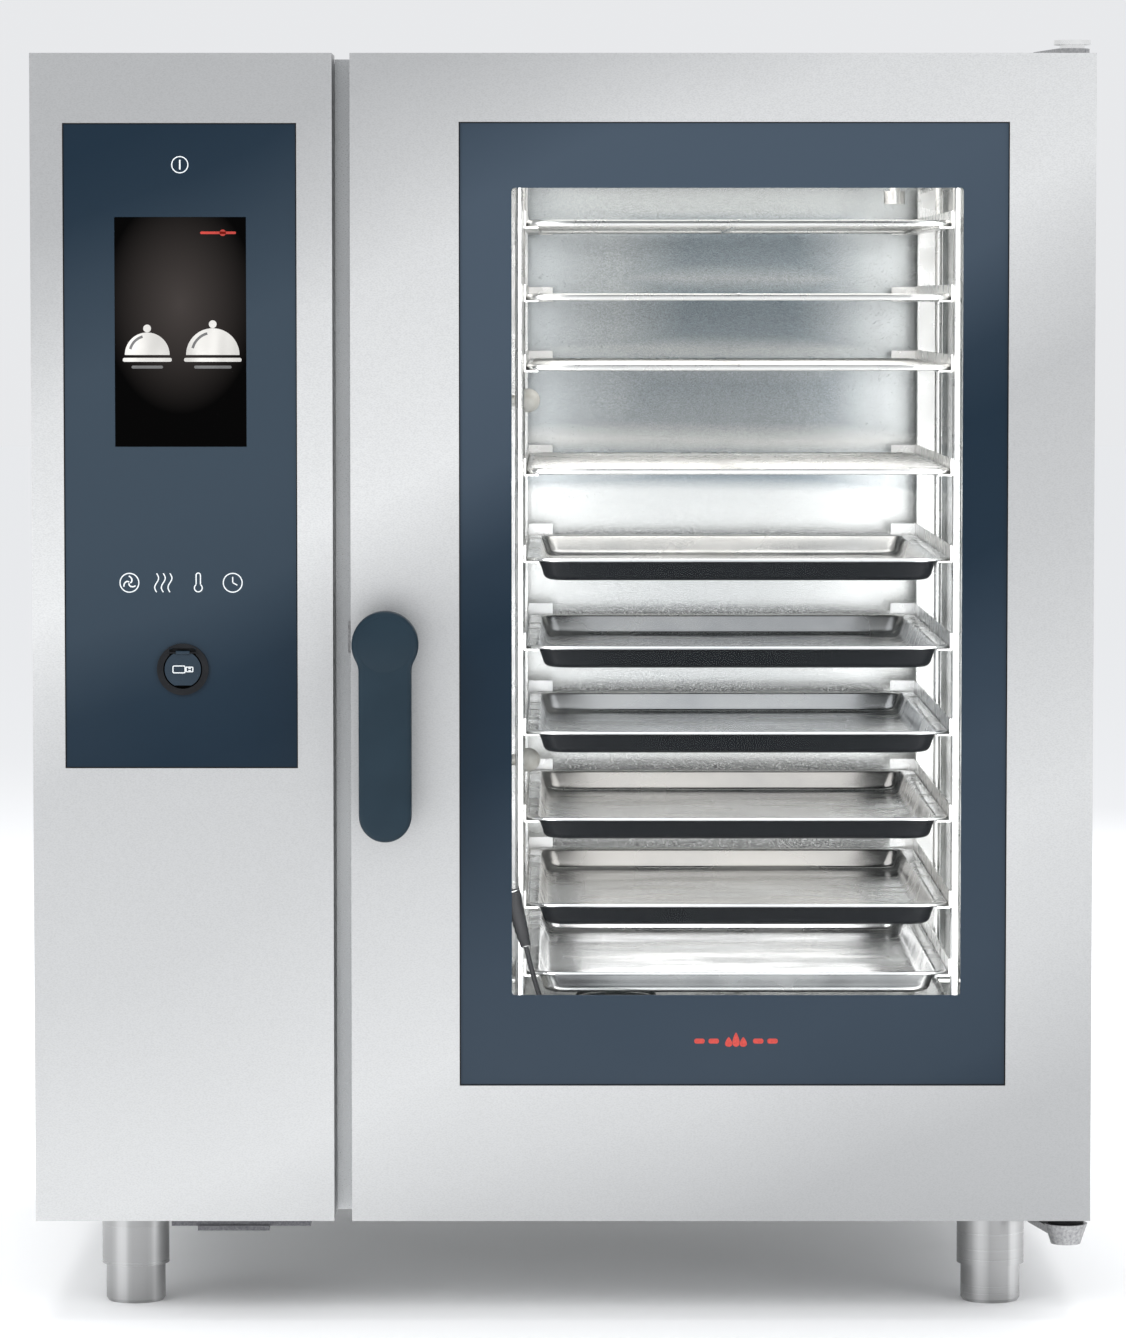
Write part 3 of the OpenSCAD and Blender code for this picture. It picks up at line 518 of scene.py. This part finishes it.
shelf_wires = 20
frame_rod = 0.003
cross_wire = 0.0016
wire_rise = 0.001
spine_rod = 0.0021
shelf_corner = 0.013
weld_bead = [(0, -0.0032), (0.0024, -0.0022), (0.0033, 0), (0.0024, 0.0022), (0, 0.0032)]
for level in range(1, 5):
    lo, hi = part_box(f"wire_shelf_{level}")
    middle = (lo + hi) / 2
    half_x, half_y = (hi.x - lo.x) / 2 - frame_rod, (hi.y - lo.y) / 2 - frame_rod
    loop = rounded(half_x, half_y, shelf_corner)
    at = np.array((middle.x, middle.y, middle.z))
    parts = [rod(at + np.c_[loop, 0 * loop[:, 0]], frame_rod, 12, ring=True)]
    for y in np.linspace(-half_y, half_y, shelf_wires + 2)[1:-1]:
        wire = np.array([(x, y, wire_rise) for x in (-half_x, 0, half_x)])
        parts.append(rod(at + wire, cross_wire, 8))
    spine = np.array([(0, -half_y, -0.0008), (0, 0, -0.0012), (0, half_y, -0.0008)])
    parts.append(rod(at + spine, spine_rod, 10))
    for s in (-1, 1):
        parts.append(turned(weld_bead, at + np.array((0, s * half_y, 0.0004)), (1, 0, 0), 12))
    build(f"shelf_{level}", parts, steel_rod, "casing", [f"wire_shelf_{level}"])


# ---- Trays ---------------------------------------------------------------------------------
# Pressed shallow trays with leaning walls, a flat flange and a rolled edge. The five upper ones
# are dark-coated outside; the lowest is bare metal. Use has left the floors faintly wavy.

tray_metal = finish_of("tray_aluminium", (0.8, 0.8, 0.79), 0.22, 1.0)
tray_haze = grain(tray_metal, 9, (1.0, 2.5, 1.0), 4)
tint(tray_metal, tray_haze, (0.62, 0.63, 0.64), (0.86, 0.86, 0.85))
roughen(tray_metal, tray_haze, 0.14, 0.34)
relief(tray_metal, grain(tray_metal, 14, (0.6, 2.0, 1.0), 1.0), 0.002, 0.35)
tray_coat = finish_of("tray_dark_coat", (0.007, 0.0075, 0.009), 0.4, Specular_IOR_Level=0.08)
tint(tray_coat, grain(tray_coat, 900, detail=1), (0.005, 0.0055, 0.0068), (0.009, 0.0095, 0.0115))
roughen(tray_coat, grain(tray_coat, 30), 0.34, 0.5)

wall_shape = [(0.0030, -0.0003), (0.0090, -0.0005), (0.0112, -0.0013), (0.0124, -0.0034), (0.0150, -0.0110),
              (0.0168, -0.0164), (0.0200, -0.0189), (0.0250, -0.0198)]
sheet = 0.0011
bead_radius = 0.0015
corner_radius = 0.026
corner_steps, side_steps = 8, 12
coat_top = -0.0034
ripple_height = 0.0006


def tray_surface(low, high, outside):
    """Half of a tray's skin. Each (inset, height) point of its profile is carried round a
    rectangle with round corners that is smaller by the inset; over the floor the rectangle
    shrinks to a point, and the floor rises and falls by a product of slow sines."""
    top = through(wall_shape, 4)
    fall = np.gradient(top, axis=0)
    fall /= np.linalg.norm(fall, axis=1, keepdims=True)
    under = top + sheet * np.stack([fall[:, 1], -fall[:, 0]], -1)
    curl = np.radians(np.linspace(50, 300, 14))
    bead = bead_radius * np.stack([1 + np.cos(curl), np.sin(curl) - 1], -1)
    profile = under if outside else np.concatenate([bead[::-1], top])
    half_x, half_y = (high.x - low.x) / 2, (high.y - low.y) / 2
    rings = []
    for inset, height in profile:
        corner = corner_radius - min(inset, 0.012)
        loop = rounded(half_x - inset, half_y - inset, corner, corner_steps, side_steps)
        rings.append(np.c_[loop, np.full(len(loop), height)])
    last = rings[-1]
    for share in np.linspace(0.9, 0.0, 10):
        flat = last.copy()
        flat[:, :2] *= share
        ripple = np.sin(23 * flat[:, 0] + 1.3) * np.sin(17 * flat[:, 1] + 0.4)
        flat[:, 2] += ripple_height * ripple * min(1, 4 * (1 - share))
        rings.append(flat)
    points = np.stack(rings) + np.array(((low.x + high.x) / 2, (low.y + high.y) / 2, high.z))
    return points.reshape(-1, 3), net(len(rings), points.shape[1], ring=True)


below_tray = {1: (0.22, cool), 2: (0.28, cool), 3: (0.36, warm), 4: (0.38, warm), 5: (0.95, white)}
around = len(rounded(1, 1, 0.1, corner_steps, side_steps))
for level in range(1, 7):
    lo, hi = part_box(f"tray_{level}")
    inner_points, inner_faces = tray_surface(lo, hi, False)
    outer_points, outer_faces = tray_surface(lo, hi, True)
    lip_rows = np.concatenate([inner_points[:around], outer_points[:around]])
    tray = build(f"tray_body_{level}", [(inner_points, inner_faces), (lip_rows, net(2, around, ring=True)),
                                        (outer_points, outer_faces)], tray_metal, "casing",
                 [f"tray_{level}"], sharp=60)
    if level < 6:
        middle = ((lo.x + hi.x) / 2, (lo.y + hi.y) / 2)
        watts, tone = below_tray[level]
        soft_box(f"under_tray_{level}", (*middle, lo.z - panel_gap), (*middle, 0), (0.28, 0.42), watts,
                 tone, True)
        tray.data.materials.append(tray_coat)
        count = len(tray.data.polygons)
        centres = np.zeros(3 * count)
        normals = np.zeros(3 * count)
        tray.data.polygons.foreach_get("center", centres)
        tray.data.polygons.foreach_get("normal", normals)
        centres, normals = centres.reshape(-1, 3), normals.reshape(-1, 3)
        from_middle = centres - np.array((*middle, hi.z))
        outwards = (normals[:, :2] * from_middle[:, :2]).sum(1)
        below_lip = from_middle[:, 2] < coat_top
        coated = below_lip & (normals[:, 2] < 0.2) & ((outwards > 0) | (normals[:, 2] < -0.5))
        tray.data.polygons.foreach_set("material_index", coated.astype(np.int32))


# ---- Door panes and their printed border ---------------------------------------------------
# Two panes of toughened glass with air between them. The outer one carries a glossy slate-blue
# enamel border with a clear window; it sits in a recess, sealed by a thin black bead.

clear_glass = finish_of("door_glass", (0.05, 0.06, 0.06), 0.03, Alpha=0.03)
tint(clear_glass, grain(clear_glass, 3, detail=1), (0.035, 0.045, 0.045), (0.06, 0.07, 0.07))
dress(clear_glass, "door_outer_glass", "door_inner_glass")


def blue_enamel(name, pale):
    """Slate-blue enamel under glass, carrying the casing's painted reflection bands: deep where they
    are dim and pale where they are bright, with a gloss broken only by wiped-off smears."""
    made = finish_of(name, pale, 0.12, Specular_IOR_Level=0.22)
    deep = (0.0036, 0.0149, 0.029)
    # Painted reflection: the casing's band pattern carried onto the blue enamel.
    bands = sheen(made, [(-0.05, 0.0), (0.04, 0.10), (0.10, 0.42), (0.18, 0.56), (0.34, 0.54), (0.43, 0.32),
                         (0.51, 0.05), (0.64, 0.02), (0.71, 0.20), (0.79, 0.85), (0.88, 0.98), (1.02, 1.0),
                         (1.10, 0.55), (1.16, 0.12), (1.22, 0.0)], 0.02)
    tint(made, bands, deep, pale, 0, 1)
    roughen(made, grain(made, 12, detail=5), 0.08, 0.2)
    return made


door_blue = blue_enamel("glass_border_blue", (0.043, 0.0627, 0.0877))
pane_lo, pane_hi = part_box("door_outer_glass")
border = {"left": 0.0453, "right": 0.0392, "bottom": 0.0791, "top": 0.0565}
window_lo = np.array((pane_lo.x + border["left"], pane_lo.z + border["bottom"]))
window_hi = np.array((pane_hi.x - border["right"], pane_hi.z - border["top"]))


def upright_loop(low, high, corner, arc=6, side=1):
    """The round-cornered rectangle between two X-Z corners."""
    low, high = np.asarray(low), np.asarray(high)
    loop = rounded(*((high - low) / 2), corner, arc, side)
    return (low + high) / 2 + loop


def flat_band(outer, inner, y_back, y_front):
    """Flat frame between two loops of as many points: its section, a thin rectangle from the
    outer loop to the inner one, is carried once round."""
    rows = [(outer, y_back), (outer, y_front), (inner, y_front), (inner, y_back), (outer, y_back)]
    points = np.stack([np.c_[loop[:, 0], np.full(len(loop), y), loop[:, 1]] for loop, y in rows])
    return points.reshape(-1, 3), net(len(rows), points.shape[1], ring=True)


pane_corners = (np.array((pane_lo.x, pane_lo.z)), np.array((pane_hi.x, pane_hi.z)))
pane_corner = 0.0004
window_corner = 0.0025
print_gap = 0.0001
print_thick = 0.0004
border_outer = upright_loop(*pane_corners, pane_corner)
border_inner = upright_loop(window_lo, window_hi, window_corner)
print_y = pane_lo.y - print_gap
build("glass_border", [flat_band(border_outer, border_inner, print_y, print_y - print_thick)], door_blue,
      "door", sharp=20)


seal_radius = 0.0008
seal_reach = 0.0003


def seal_bead(name, low, high, body, y):
    """A silicone bead filling the joint round a pane: a rod round the pane's own outline, a
    little further out."""
    loop = upright_loop(np.asarray(low) - seal_reach, np.asarray(high) + seal_reach, 0.0012)
    path = np.c_[loop[:, 0], np.full(len(loop), y), loop[:, 1]]
    bead = rod(path, seal_radius, 6, ring=True, up=(0, 1, 0))
    return build(name, [bead], silicone, body)


seal_bead("door_glass_seal", *pane_corners, "door", pane_lo.y - 0.0004)


# ---- Door gasket, hinges and latch ---------------------------------------------------------
# A hollow black silicone frame seals the door. The door turns on two steel pins in bronze
# bushes, held by cast plates over and under it; a hook behind the handle grips the striker.

dress(silicone, "door_gasket")

cast_steel = finish_of("hinge_steel", (0.42, 0.42, 0.42), 0.4, 1.0)
cast_pores = grain(cast_steel, 420, detail=3)
tint(cast_steel, cast_pores, (0.30, 0.30, 0.31), (0.52, 0.52, 0.52))
relief(cast_steel, cast_pores, 0.0002, 0.4)
dress(cast_steel, "hinge_bracket_top", "hinge_bracket_bottom", "latch_hook", "latch_striker")

bronze = finish_of("bronze", (0.55, 0.38, 0.18), 0.3, 1.0)
bronze_stain = grain(bronze, 160, detail=4)
tint(bronze, bronze_stain, (0.38, 0.25, 0.11), (0.66, 0.47, 0.24))
roughen(bronze, bronze_stain, 0.22, 0.45)
dress(bronze, "hinge_bushes", "water_valves")

pin_lo, pin_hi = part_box("hinge_pins")
pin_x, pin_y = (pin_lo.x + pin_hi.x) / 2, (pin_lo.y + pin_hi.y) / 2
washer_profile = [(0.0068, 0.0002), (0.0150, 0.0002), (0.0158, 0.0012), (0.0158, 0.0086), (0.0150, 0.0096),
                  (0.0068, 0.0096), (0.0068, 0.0002)]
washer_base = (pin_x, pin_y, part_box("door_shell")[0].z - 0.0098)
build("hinge_washer", [turned(washer_profile, washer_base, sides=40)], silicone, "casing")


# ---- Turning handle ------------------------------------------------------------------------
# One moulding in slate-blue fibre-filled plastic: a round head over the spindle with a flat
# cap let into it, and a straight grip hanging below. A steel-lined neck joins it to the door.

handle_blue = finish_of("handle_plastic", (0.018, 0.036, 0.053), 0.45, Specular_IOR_Level=0.25)
mould_spark = grain(handle_blue, 1500, detail=2)
tint(handle_blue, grain(handle_blue, 18, detail=3), (0.0070, 0.0195, 0.031), (0.0105, 0.0255, 0.039))
roughen(handle_blue, grain(handle_blue, 40, detail=4), 0.40, 0.54)
relief(handle_blue, mould_spark, 0.00006, 0.35)

lever_lo, lever_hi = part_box("handle_lever")
head_radius = (lever_hi.x - lever_lo.x) / 2
head = np.array(((lever_lo.x + lever_hi.x) / 2, lever_hi.z - head_radius))
grip_half = 0.0228
grip_thick = 0.022
edge_round = 0.0052
back_round = 0.003
grip_end = np.array((head[0], lever_lo.z + grip_half))


def handle_outline():
    """The head's circle down to where it meets the grip, the grip's straight sides and the
    half circle that ends it; each inner corner is then rounded by averaging neighbours."""
    meet = math.acos(grip_half / head_radius)
    over = np.linspace(-meet, math.pi + meet, 60)
    crown = head + head_radius * np.stack([np.cos(over), np.sin(over)], -1)
    below = np.linspace(math.pi, 2 * math.pi, 40)
    toe = grip_end + grip_half * np.stack([np.cos(below), np.sin(below)], -1)
    share = np.linspace(0, 1, 42)[1:-1, None]
    left = crown[-1] + share * (toe[0] - crown[-1])
    right = toe[-1] + share * (crown[0] - toe[-1])
    loop = np.concatenate([crown, left, toe, right])
    for _ in range(3):
        loop = (np.roll(loop, 1, 0) + 2 * loop + np.roll(loop, -1, 0)) / 4
    return loop


def handle_skin(y_front, y_back):
    """The outline pulled in towards the handle's spine by the sine of a turning angle while
    the depth follows its cosine, which rounds both edges; both faces close on the spine."""
    loop = handle_outline()
    on_spine = np.stack([np.full(len(loop), head[0]), np.clip(loop[:, 1], grip_end[1], head[1])], -1)
    inward = on_spine - loop
    distance = np.linalg.norm(inward, axis=1, keepdims=True)
    back, front = [], []
    for a in np.linspace(math.pi / 2, 0, 7):
        inset, sink = 1 - math.cos(a), 1 - math.sin(a)
        back.append((None, back_round * inset, y_back - back_round * sink))
        front.append((None, edge_round * inset, y_front + edge_round * sink))
    crowned = [(0.6, None, y_front - 0.0001), (1.0, None, y_front - 0.0002)]
    rows = [(1.0, None, y_back), *back, *front[::-1], *crowned]
    points = []
    for share, inset, y in rows:
        pull = share if share is not None else inset / distance
        flat = loop + inward * pull
        points.append(np.c_[flat[:, 0], np.full(len(flat), y), flat[:, 1]])
    points = np.stack(points)
    return points.reshape(-1, 3), net(len(rows), points.shape[1], ring=True)


handle_front = lever_lo.y + 0.0002
build("handle_grip", [handle_skin(handle_front, lever_lo.y + grip_thick)], handle_blue, "handle",
      ["handle_lever"], sharp=70)
spindle = (0, 1, 0)
cap_profile = [(0, -0.0004), (0.0228, -0.0004), (0.0236, 0.0), (0.0237, 0.0006), (0, 0.0006)]
cap_base = (head[0], handle_front - 0.0002, head[1])
build("handle_cap", [turned(cap_profile, cap_base, spindle, 64)], handle_blue, "handle")
neck_length = lever_hi.y - (lever_lo.y + grip_thick)
neck_profile = [(0, -0.0010), (0.0215, -0.0010), (0.0200, 0.006), (0.0192, neck_length * 0.5),
                (0.0200, neck_length - 0.008), (0.0220, neck_length - 0.003), (0.0220, neck_length),
                (0, neck_length)]
neck_base = (head[0], lever_lo.y + grip_thick, head[1])
build("handle_neck", [turned(neck_profile, neck_base, spindle, 48)], handle_blue, "handle")


# ---- Control glass and display -------------------------------------------------------------
# The column's glass is enamelled like the door's. Its display shows a plain picture of two
# covered dishes on a dark ground, drawn as flat lit shapes just in front of the panel.

column_blue = blue_enamel("control_glass_blue", (0.030, 0.047, 0.066))
dress(column_blue, "control_glass")
glass_lo, glass_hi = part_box("control_glass")
screen_lo, screen_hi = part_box("display_screen")
seal_bead("control_glass_seal", (glass_lo.x, glass_lo.z), (glass_hi.x, glass_hi.z), "casing",
          glass_lo.y - 0.0002)

screen_black = finish_of("display_black", (0.0008, 0.0008, 0.0008), 0.10, Specular_IOR_Level=0.012)
dress(screen_black, "display_screen")
screen_tall = screen_hi.z - screen_lo.z
screen_mid = ((screen_lo.x + screen_hi.x) / 2, screen_lo.y, screen_lo.z + 0.62 * screen_tall)
glow_scale = (15, 0, 10.5)
tree = screen_black.node_tree
screen_place = tree.nodes.new("ShaderNodeTexCoord")
screen_shift = tree.nodes.new("ShaderNodeMapping")
screen_shift.inputs["Location"].default_value = [-v * s for v, s in zip(screen_mid, glow_scale)]
screen_shift.inputs["Scale"].default_value = glow_scale
screen_glow = tree.nodes.new("ShaderNodeTexGradient")
screen_glow.gradient_type = "SPHERICAL"
tree.links.new(screen_place.outputs["Object"], screen_shift.inputs["Vector"])
tree.links.new(screen_shift.outputs["Vector"], screen_glow.inputs["Vector"])
screen_ramp = tree.nodes.new("ShaderNodeValToRGB")
screen_ramp.color_ramp.elements[0].color = (0.0006, 0.0005, 0.0005, 1)
screen_ramp.color_ramp.elements[1].color = (0.062, 0.053, 0.050, 1)
tree.links.new(screen_glow.outputs["Fac"], screen_ramp.inputs["Fac"])
tree.links.new(screen_ramp.outputs["Color"], tree.nodes["Principled BSDF"].inputs["Emission Color"])
tree.nodes["Principled BSDF"].inputs["Emission Strength"].default_value = 1.0


def lit(name, colour, strength):
    """A flat colour that the display gives off, dimmed unevenly by slow noise."""
    made = finish_of(name, colour, 0.4, Emission_Strength=strength)
    blend = tint(made, grain(made, 45, (1, 1, 0.5), 1), tuple(0.62 * c for c in colour), colour)
    shader = made.node_tree.nodes["Principled BSDF"]
    made.node_tree.links.new(blend.outputs["Result"], shader.inputs["Emission Color"])
    return made


picture_white = lit("picture_white", (0.46, 0.45, 0.43), 0.75)
picture_grey = lit("picture_grey", (0.10, 0.10, 0.10), 0.6)
picture_red = lit("picture_red", (0.40, 0.03, 0.02), 0.5)


def stamp(outline, y_back, thick):
    """A thin flat plate: its outline at the back and front, each closed on its middle point."""
    outline = np.asarray(outline, float)
    middle = np.repeat(outline.mean(0)[None], len(outline), 0)
    rows = [(middle, y_back), (outline, y_back), (outline, y_back - thick), (middle, y_back - thick)]
    points = np.stack([np.c_[loop[:, 0], np.full(len(loop), y), loop[:, 1]] for loop, y in rows])
    return points.reshape(-1, 3), net(len(rows), points.shape[1], ring=True)


def stroke(path, width, y_back, thick, ring=False):
    """A flat line: a thin rectangle, as wide as the line, carried along the path in X and Z."""
    path = np.asarray(path, float)
    way = np.roll(path, -1, 0) - np.roll(path, 1, 0) if ring else np.gradient(path, axis=0)
    way /= np.linalg.norm(way, axis=1, keepdims=True)
    out = np.stack([-way[:, 1], way[:, 0]], -1) * width / 2
    corners = [(out, y_back), (out, y_back - thick), (-out, y_back - thick), (-out, y_back)]
    rows = np.stack([np.c_[(path + o)[:, 0], np.full(len(path), y), (path + o)[:, 1]] for o, y in corners], 1)
    if ring:
        rows = np.concatenate([rows, rows[:1]])
    else:
        caps = rows[[0, -1]].mean(1, keepdims=True).repeat(4, 1)
        rows = np.concatenate([caps[:1], rows, caps[1:]])
    return rows.reshape(-1, 3), net(len(rows), 4, ring=True)


def arc(middle, radius, start, stop, count=24):
    """Points on a circle in X and Z, from one angle in degrees to another."""
    angle = np.radians(np.linspace(start, stop, count))
    return np.asarray(middle) + radius * np.stack([np.cos(angle), np.sin(angle)], -1)


def bar(middle, half_w, half_h, corner):
    """A round-cornered rectangle about a middle point in X and Z."""
    return np.asarray(middle) + rounded(half_w, half_h, corner)


image_y = screen_lo.y
image_thick = 0.00006
dish_z = screen_lo.z + 0.40 * screen_tall
whites, greys = [], []
for dish_x, big in ((screen_lo.x + 0.028, 0.0195), (screen_hi.x - 0.029, 0.0232)):
    dome = arc((dish_x, dish_z), big, 0, 180, 40)
    whites.append(stamp(dome, image_y, image_thick))
    whites.append(stamp(arc((dish_x, dish_z + big + 0.0035), 0.0034, 0, 345, 24), image_y, image_thick))
    whites.append(stamp(bar((dish_x, dish_z - 0.0042), big + 0.0018, 0.0017, 0.0015), image_y, image_thick))
    shade = arc((dish_x, dish_z + 0.0012), big * 0.78, 105, 165, 20)
    greys.append(stroke(shade, 0.0022, image_y - image_thick, image_thick))
    greys.append(stamp(bar((dish_x, dish_z - 0.0105), big * 0.7, 0.0013, 0.0012), image_y, image_thick))
slide_z = screen_hi.z - 0.0135
slide = bar((screen_hi.x - 0.024, slide_z), 0.0155, 0.0011, 0.0010)
slide_knob = arc((screen_hi.x - 0.0200, slide_z), 0.0028, 0, 345, 20)
reds = [stamp(slide, image_y, image_thick), stamp(slide_knob, image_y, image_thick)]
build("picture_dishes", whites, picture_white, "casing", smooth=False)
build("picture_shading", greys, picture_grey, "casing", smooth=False)
build("picture_status", reds, picture_red, "casing", smooth=False)


# ---- Printed symbols -----------------------------------------------------------------------
# Fired white ceramic ink on the control glass: a power symbol, and a line of symbols for fan,
# steam, heat and timer. A small red mark of flames between bars sits on the door's border.

ink_white = finish_of("ink_white", (0.72, 0.76, 0.78), 0.5)
tint(ink_white, grain(ink_white, 900), (0.62, 0.66, 0.68), (0.80, 0.83, 0.85))
ink_red = finish_of("ink_red", (0.50, 0.045, 0.035), 0.45)
tint(ink_red, grain(ink_red, 900), (0.42, 0.036, 0.028), (0.58, 0.060, 0.045))
ink_y = glass_lo.y
ink_thick = 0.00008
pen = 0.0010
fine_pen = 0.0009
centre_x = (glass_lo.x + glass_hi.x) / 2
power = (centre_x + 0.0004, glass_hi.z - 0.0355)
power_bar = [(power[0], power[1] + rise) for rise in (-0.0042, 0, 0.0042)]
strokes = [stroke(arc(power, 0.0070, 0, 354, 60), fine_pen, ink_y, ink_thick, ring=True),
           stroke(power_bar, 0.0013, ink_y, ink_thick)]

line_z = glass_lo.z + 0.1615
size = 0.0082
fan_x, steam_x, heat_x, timer_x = centre_x + np.array((-0.045, -0.0155, 0.0150, 0.0450))
for ring_x in (fan_x, timer_x):
    strokes.append(stroke(arc((ring_x, line_z), size, 0, 354, 48), pen, ink_y, ink_thick, ring=True))
for k in range(3):
    swing = np.radians(120 * k + np.linspace(0, 95, 12))
    blade = np.linspace(0.0006, size * 0.72, 12)[:, None] * np.stack([np.cos(swing), np.sin(swing)], -1)
    strokes.append(stroke(np.array((fan_x, line_z)) + blade, 0.0012, ink_y, ink_thick))
for k in (-1, 0, 1):
    rise = np.linspace(-size, size, 24)
    wave = 0.0017 * np.sin(rise / size * math.pi)
    plume = np.stack([steam_x + 0.0058 * k + wave, line_z + rise], -1)
    strokes.append(stroke(plume, pen, ink_y, ink_thick))
strokes.append(stroke(arc((heat_x, line_z - 0.0045), 0.0034, 125, 415, 30), pen, ink_y, ink_thick))
tube_half = 0.0019
tube_top = arc((heat_x, line_z + 0.0066), tube_half, 0, 180, 12)
tube_feet = [(heat_x + side * tube_half, line_z - 0.0015) for side in (1, -1)]
tube_walls = np.concatenate([tube_feet[:1], tube_top, tube_feet[1:]])
strokes.append(stroke(tube_walls, pen, ink_y, ink_thick))
hands = [(timer_x, line_z + 0.0052), (timer_x, line_z + 0.0001), (timer_x + 0.0040, line_z - 0.0022)]
strokes.append(stroke([hands[0], (timer_x, line_z + 0.0025), hands[1]], pen, ink_y, ink_thick))
strokes.append(stroke([hands[1], (timer_x + 0.0020, line_z - 0.0010), hands[2]], pen, ink_y, ink_thick))
build("glass_symbols", strokes, ink_white, "casing", smooth=False)

mark_x = (window_lo[0] + window_hi[0]) / 2
mark_z = pane_lo.z + 0.0385
mark_y = pane_lo.y - print_gap - print_thick
marks = []
around = np.linspace(0, 2 * math.pi, 40, endpoint=False)
for k, tall in ((-1, 0.0085), (0, 0.0125), (1, 0.0085)):
    flame = np.stack([0.0028 * np.sin(around) * (1 + 0.55 * np.cos(around)), tall / 2 * np.cos(around)], -1)
    marks.append(stamp(np.array((mark_x + 0.0064 * k, mark_z + tall / 2 - 0.005)) - flame, mark_y, ink_thick))
for side in (-1, 1):
    for out in (0.0195, 0.0320):
        dash = bar((mark_x + side * out, mark_z), 0.0046, 0.0022, 0.0020)
        marks.append(stamp(dash, mark_y, ink_thick))
build("door_mark", marks, ink_red, "door", smooth=False)


# ---- USB socket ----------------------------------------------------------------------------
# A black bezel round a small slate-blue flap with a flat lower edge. The flap turns up on a
# pin; a printed stick-and-plug symbol tells what is behind it.

black_plastic = finish_of("black_plastic", (0.008, 0.009, 0.011), 0.5, Specular_IOR_Level=0.2)
tint(black_plastic, grain(black_plastic, 60, detail=4), (0.005, 0.0055, 0.007), (0.011, 0.012, 0.014))
relief(black_plastic, grain(black_plastic, 1800), 0.00008, 0.4)
dress(black_plastic, "usb_port", "usb_hinge_pin", "cable_gland")
flap_blue = finish_of("usb_flap_blue", (0.016, 0.029, 0.044), 0.32, Specular_IOR_Level=0.25)
tint(flap_blue, grain(flap_blue, 25, detail=3), (0.013, 0.025, 0.039), (0.020, 0.034, 0.050))
relief(flap_blue, grain(flap_blue, 1500), 0.00005, 0.3)
dress(flap_blue, "usb_cover")
flap_lo, flap_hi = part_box("usb_cover")
flap_x, flap_y, flap_z = (flap_lo.x + flap_hi.x) / 2, flap_lo.y + 0.0011, flap_lo.z + 0.0140
plug = []
for left, right, half_tall, corner in ((-0.0085, 0.0020, 0.0030, 0.0010), (0.0030, 0.0088, 0.0020, 0.0004)):
    case = upright_loop((flap_x + left, flap_z - half_tall), (flap_x + right, flap_z + half_tall), corner)
    plug.append(stroke(case, fine_pen, flap_y, ink_thick, ring=True))
for side in (-1, 1):
    contact = bar((flap_x + 0.0060, flap_z + 0.0009 * side), 0.0011, 0.0004, 0.0002)
    plug.append(stamp(contact, flap_y, ink_thick))
build("usb_symbol", plug, ink_white, "usb_flap", smooth=False)


# ---- Machinery and rear fittings -----------------------------------------------------------
# What the casing hides: wool round the chamber, motor, fan and heating rings, circuit board,
# and the quench box; what shows from behind and below: drain, flue, filter and the two bronze
# water unions, which end in cut threads.

wool = finish_of("mineral_wool", (0.62, 0.52, 0.22), 0.95)
wool_tufts = grain(wool, 70, (1, 1, 3), 6)
tint(wool, wool_tufts, (0.42, 0.34, 0.12), (0.72, 0.63, 0.32))
relief(wool, wool_tufts, 0.004, 0.9)
dress(wool, "insulation")

board_green = finish_of("circuit_board", (0.02, 0.16, 0.07), 0.4)
tint(board_green, grain(board_green, 240, (1, 1, 6), 1), (0.012, 0.11, 0.05), (0.03, 0.20, 0.09), 0.48, 0.52)
dress(board_green, "control_board")

motor_paint = finish_of("motor_grey", (0.05, 0.055, 0.06), 0.45)
motor_specks = grain(motor_paint, 500, detail=4)
tint(motor_paint, motor_specks, (0.035, 0.04, 0.045), (0.075, 0.08, 0.085))
relief(motor_paint, motor_specks, 0.0003, 0.5)
dress(motor_paint, "fan_motor")

heater_sheath = finish_of("heater_sheath", (0.24, 0.17, 0.12), 0.45, 1.0)
tint(heater_sheath, grain(heater_sheath, 35, detail=5), (0.12, 0.09, 0.08), (0.38, 0.27, 0.17))
dress(heater_sheath, "heating_coils")

works_steel = belt_ground("fan_steel", (0.42, 0.42, 0.43), (0.68, 0.68, 0.69), 0.36,
                          lambda made: grain(made, 9.0, detail=1.0))
dress(works_steel, "fan_wheel", "fan_shaft", "cavity_lamp", "quench_box", "exhaust_pipe", "steam_damper")

filter_grey = finish_of("filter_grey", (0.15, 0.15, 0.16), 0.5, 0.8)
tint(filter_grey, grain(filter_grey, 700, detail=2), (0.11, 0.11, 0.12), (0.20, 0.20, 0.21))
dress(filter_grey, "intake_filter")

mounts = {mount["name"]: mount for mount in frame["record"]["mounts"]}
union_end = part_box("water_valves")[1].y
thread_count = 8
thread_pitch = 0.0018
thread_rises = np.tile((0.0001, 0.0004, 0.0001), thread_count)
thread_drops = 0.001 + thread_pitch * (np.arange(thread_count)[:, None] + np.array((0, 0.4, 0.8))).ravel()
thread_root = 0.001
for kind in ("hard", "soft"):
    union = mounts["water_inlet_" + kind]
    radius = union["dims"]["r_mm"] / 1000
    inner = radius - thread_root
    crests = zip(radius + thread_rises, -thread_drops)
    profile = [(inner, -thread_drops[0]), *crests, (inner, -thread_drops[-1]), (inner, -thread_drops[0])]
    base = (union["pos_m"][0], union_end, union["pos_m"][2])
    build(f"water_thread_{kind}", [turned(profile, base, (0, 1, 0), 40)], bronze, "casing")
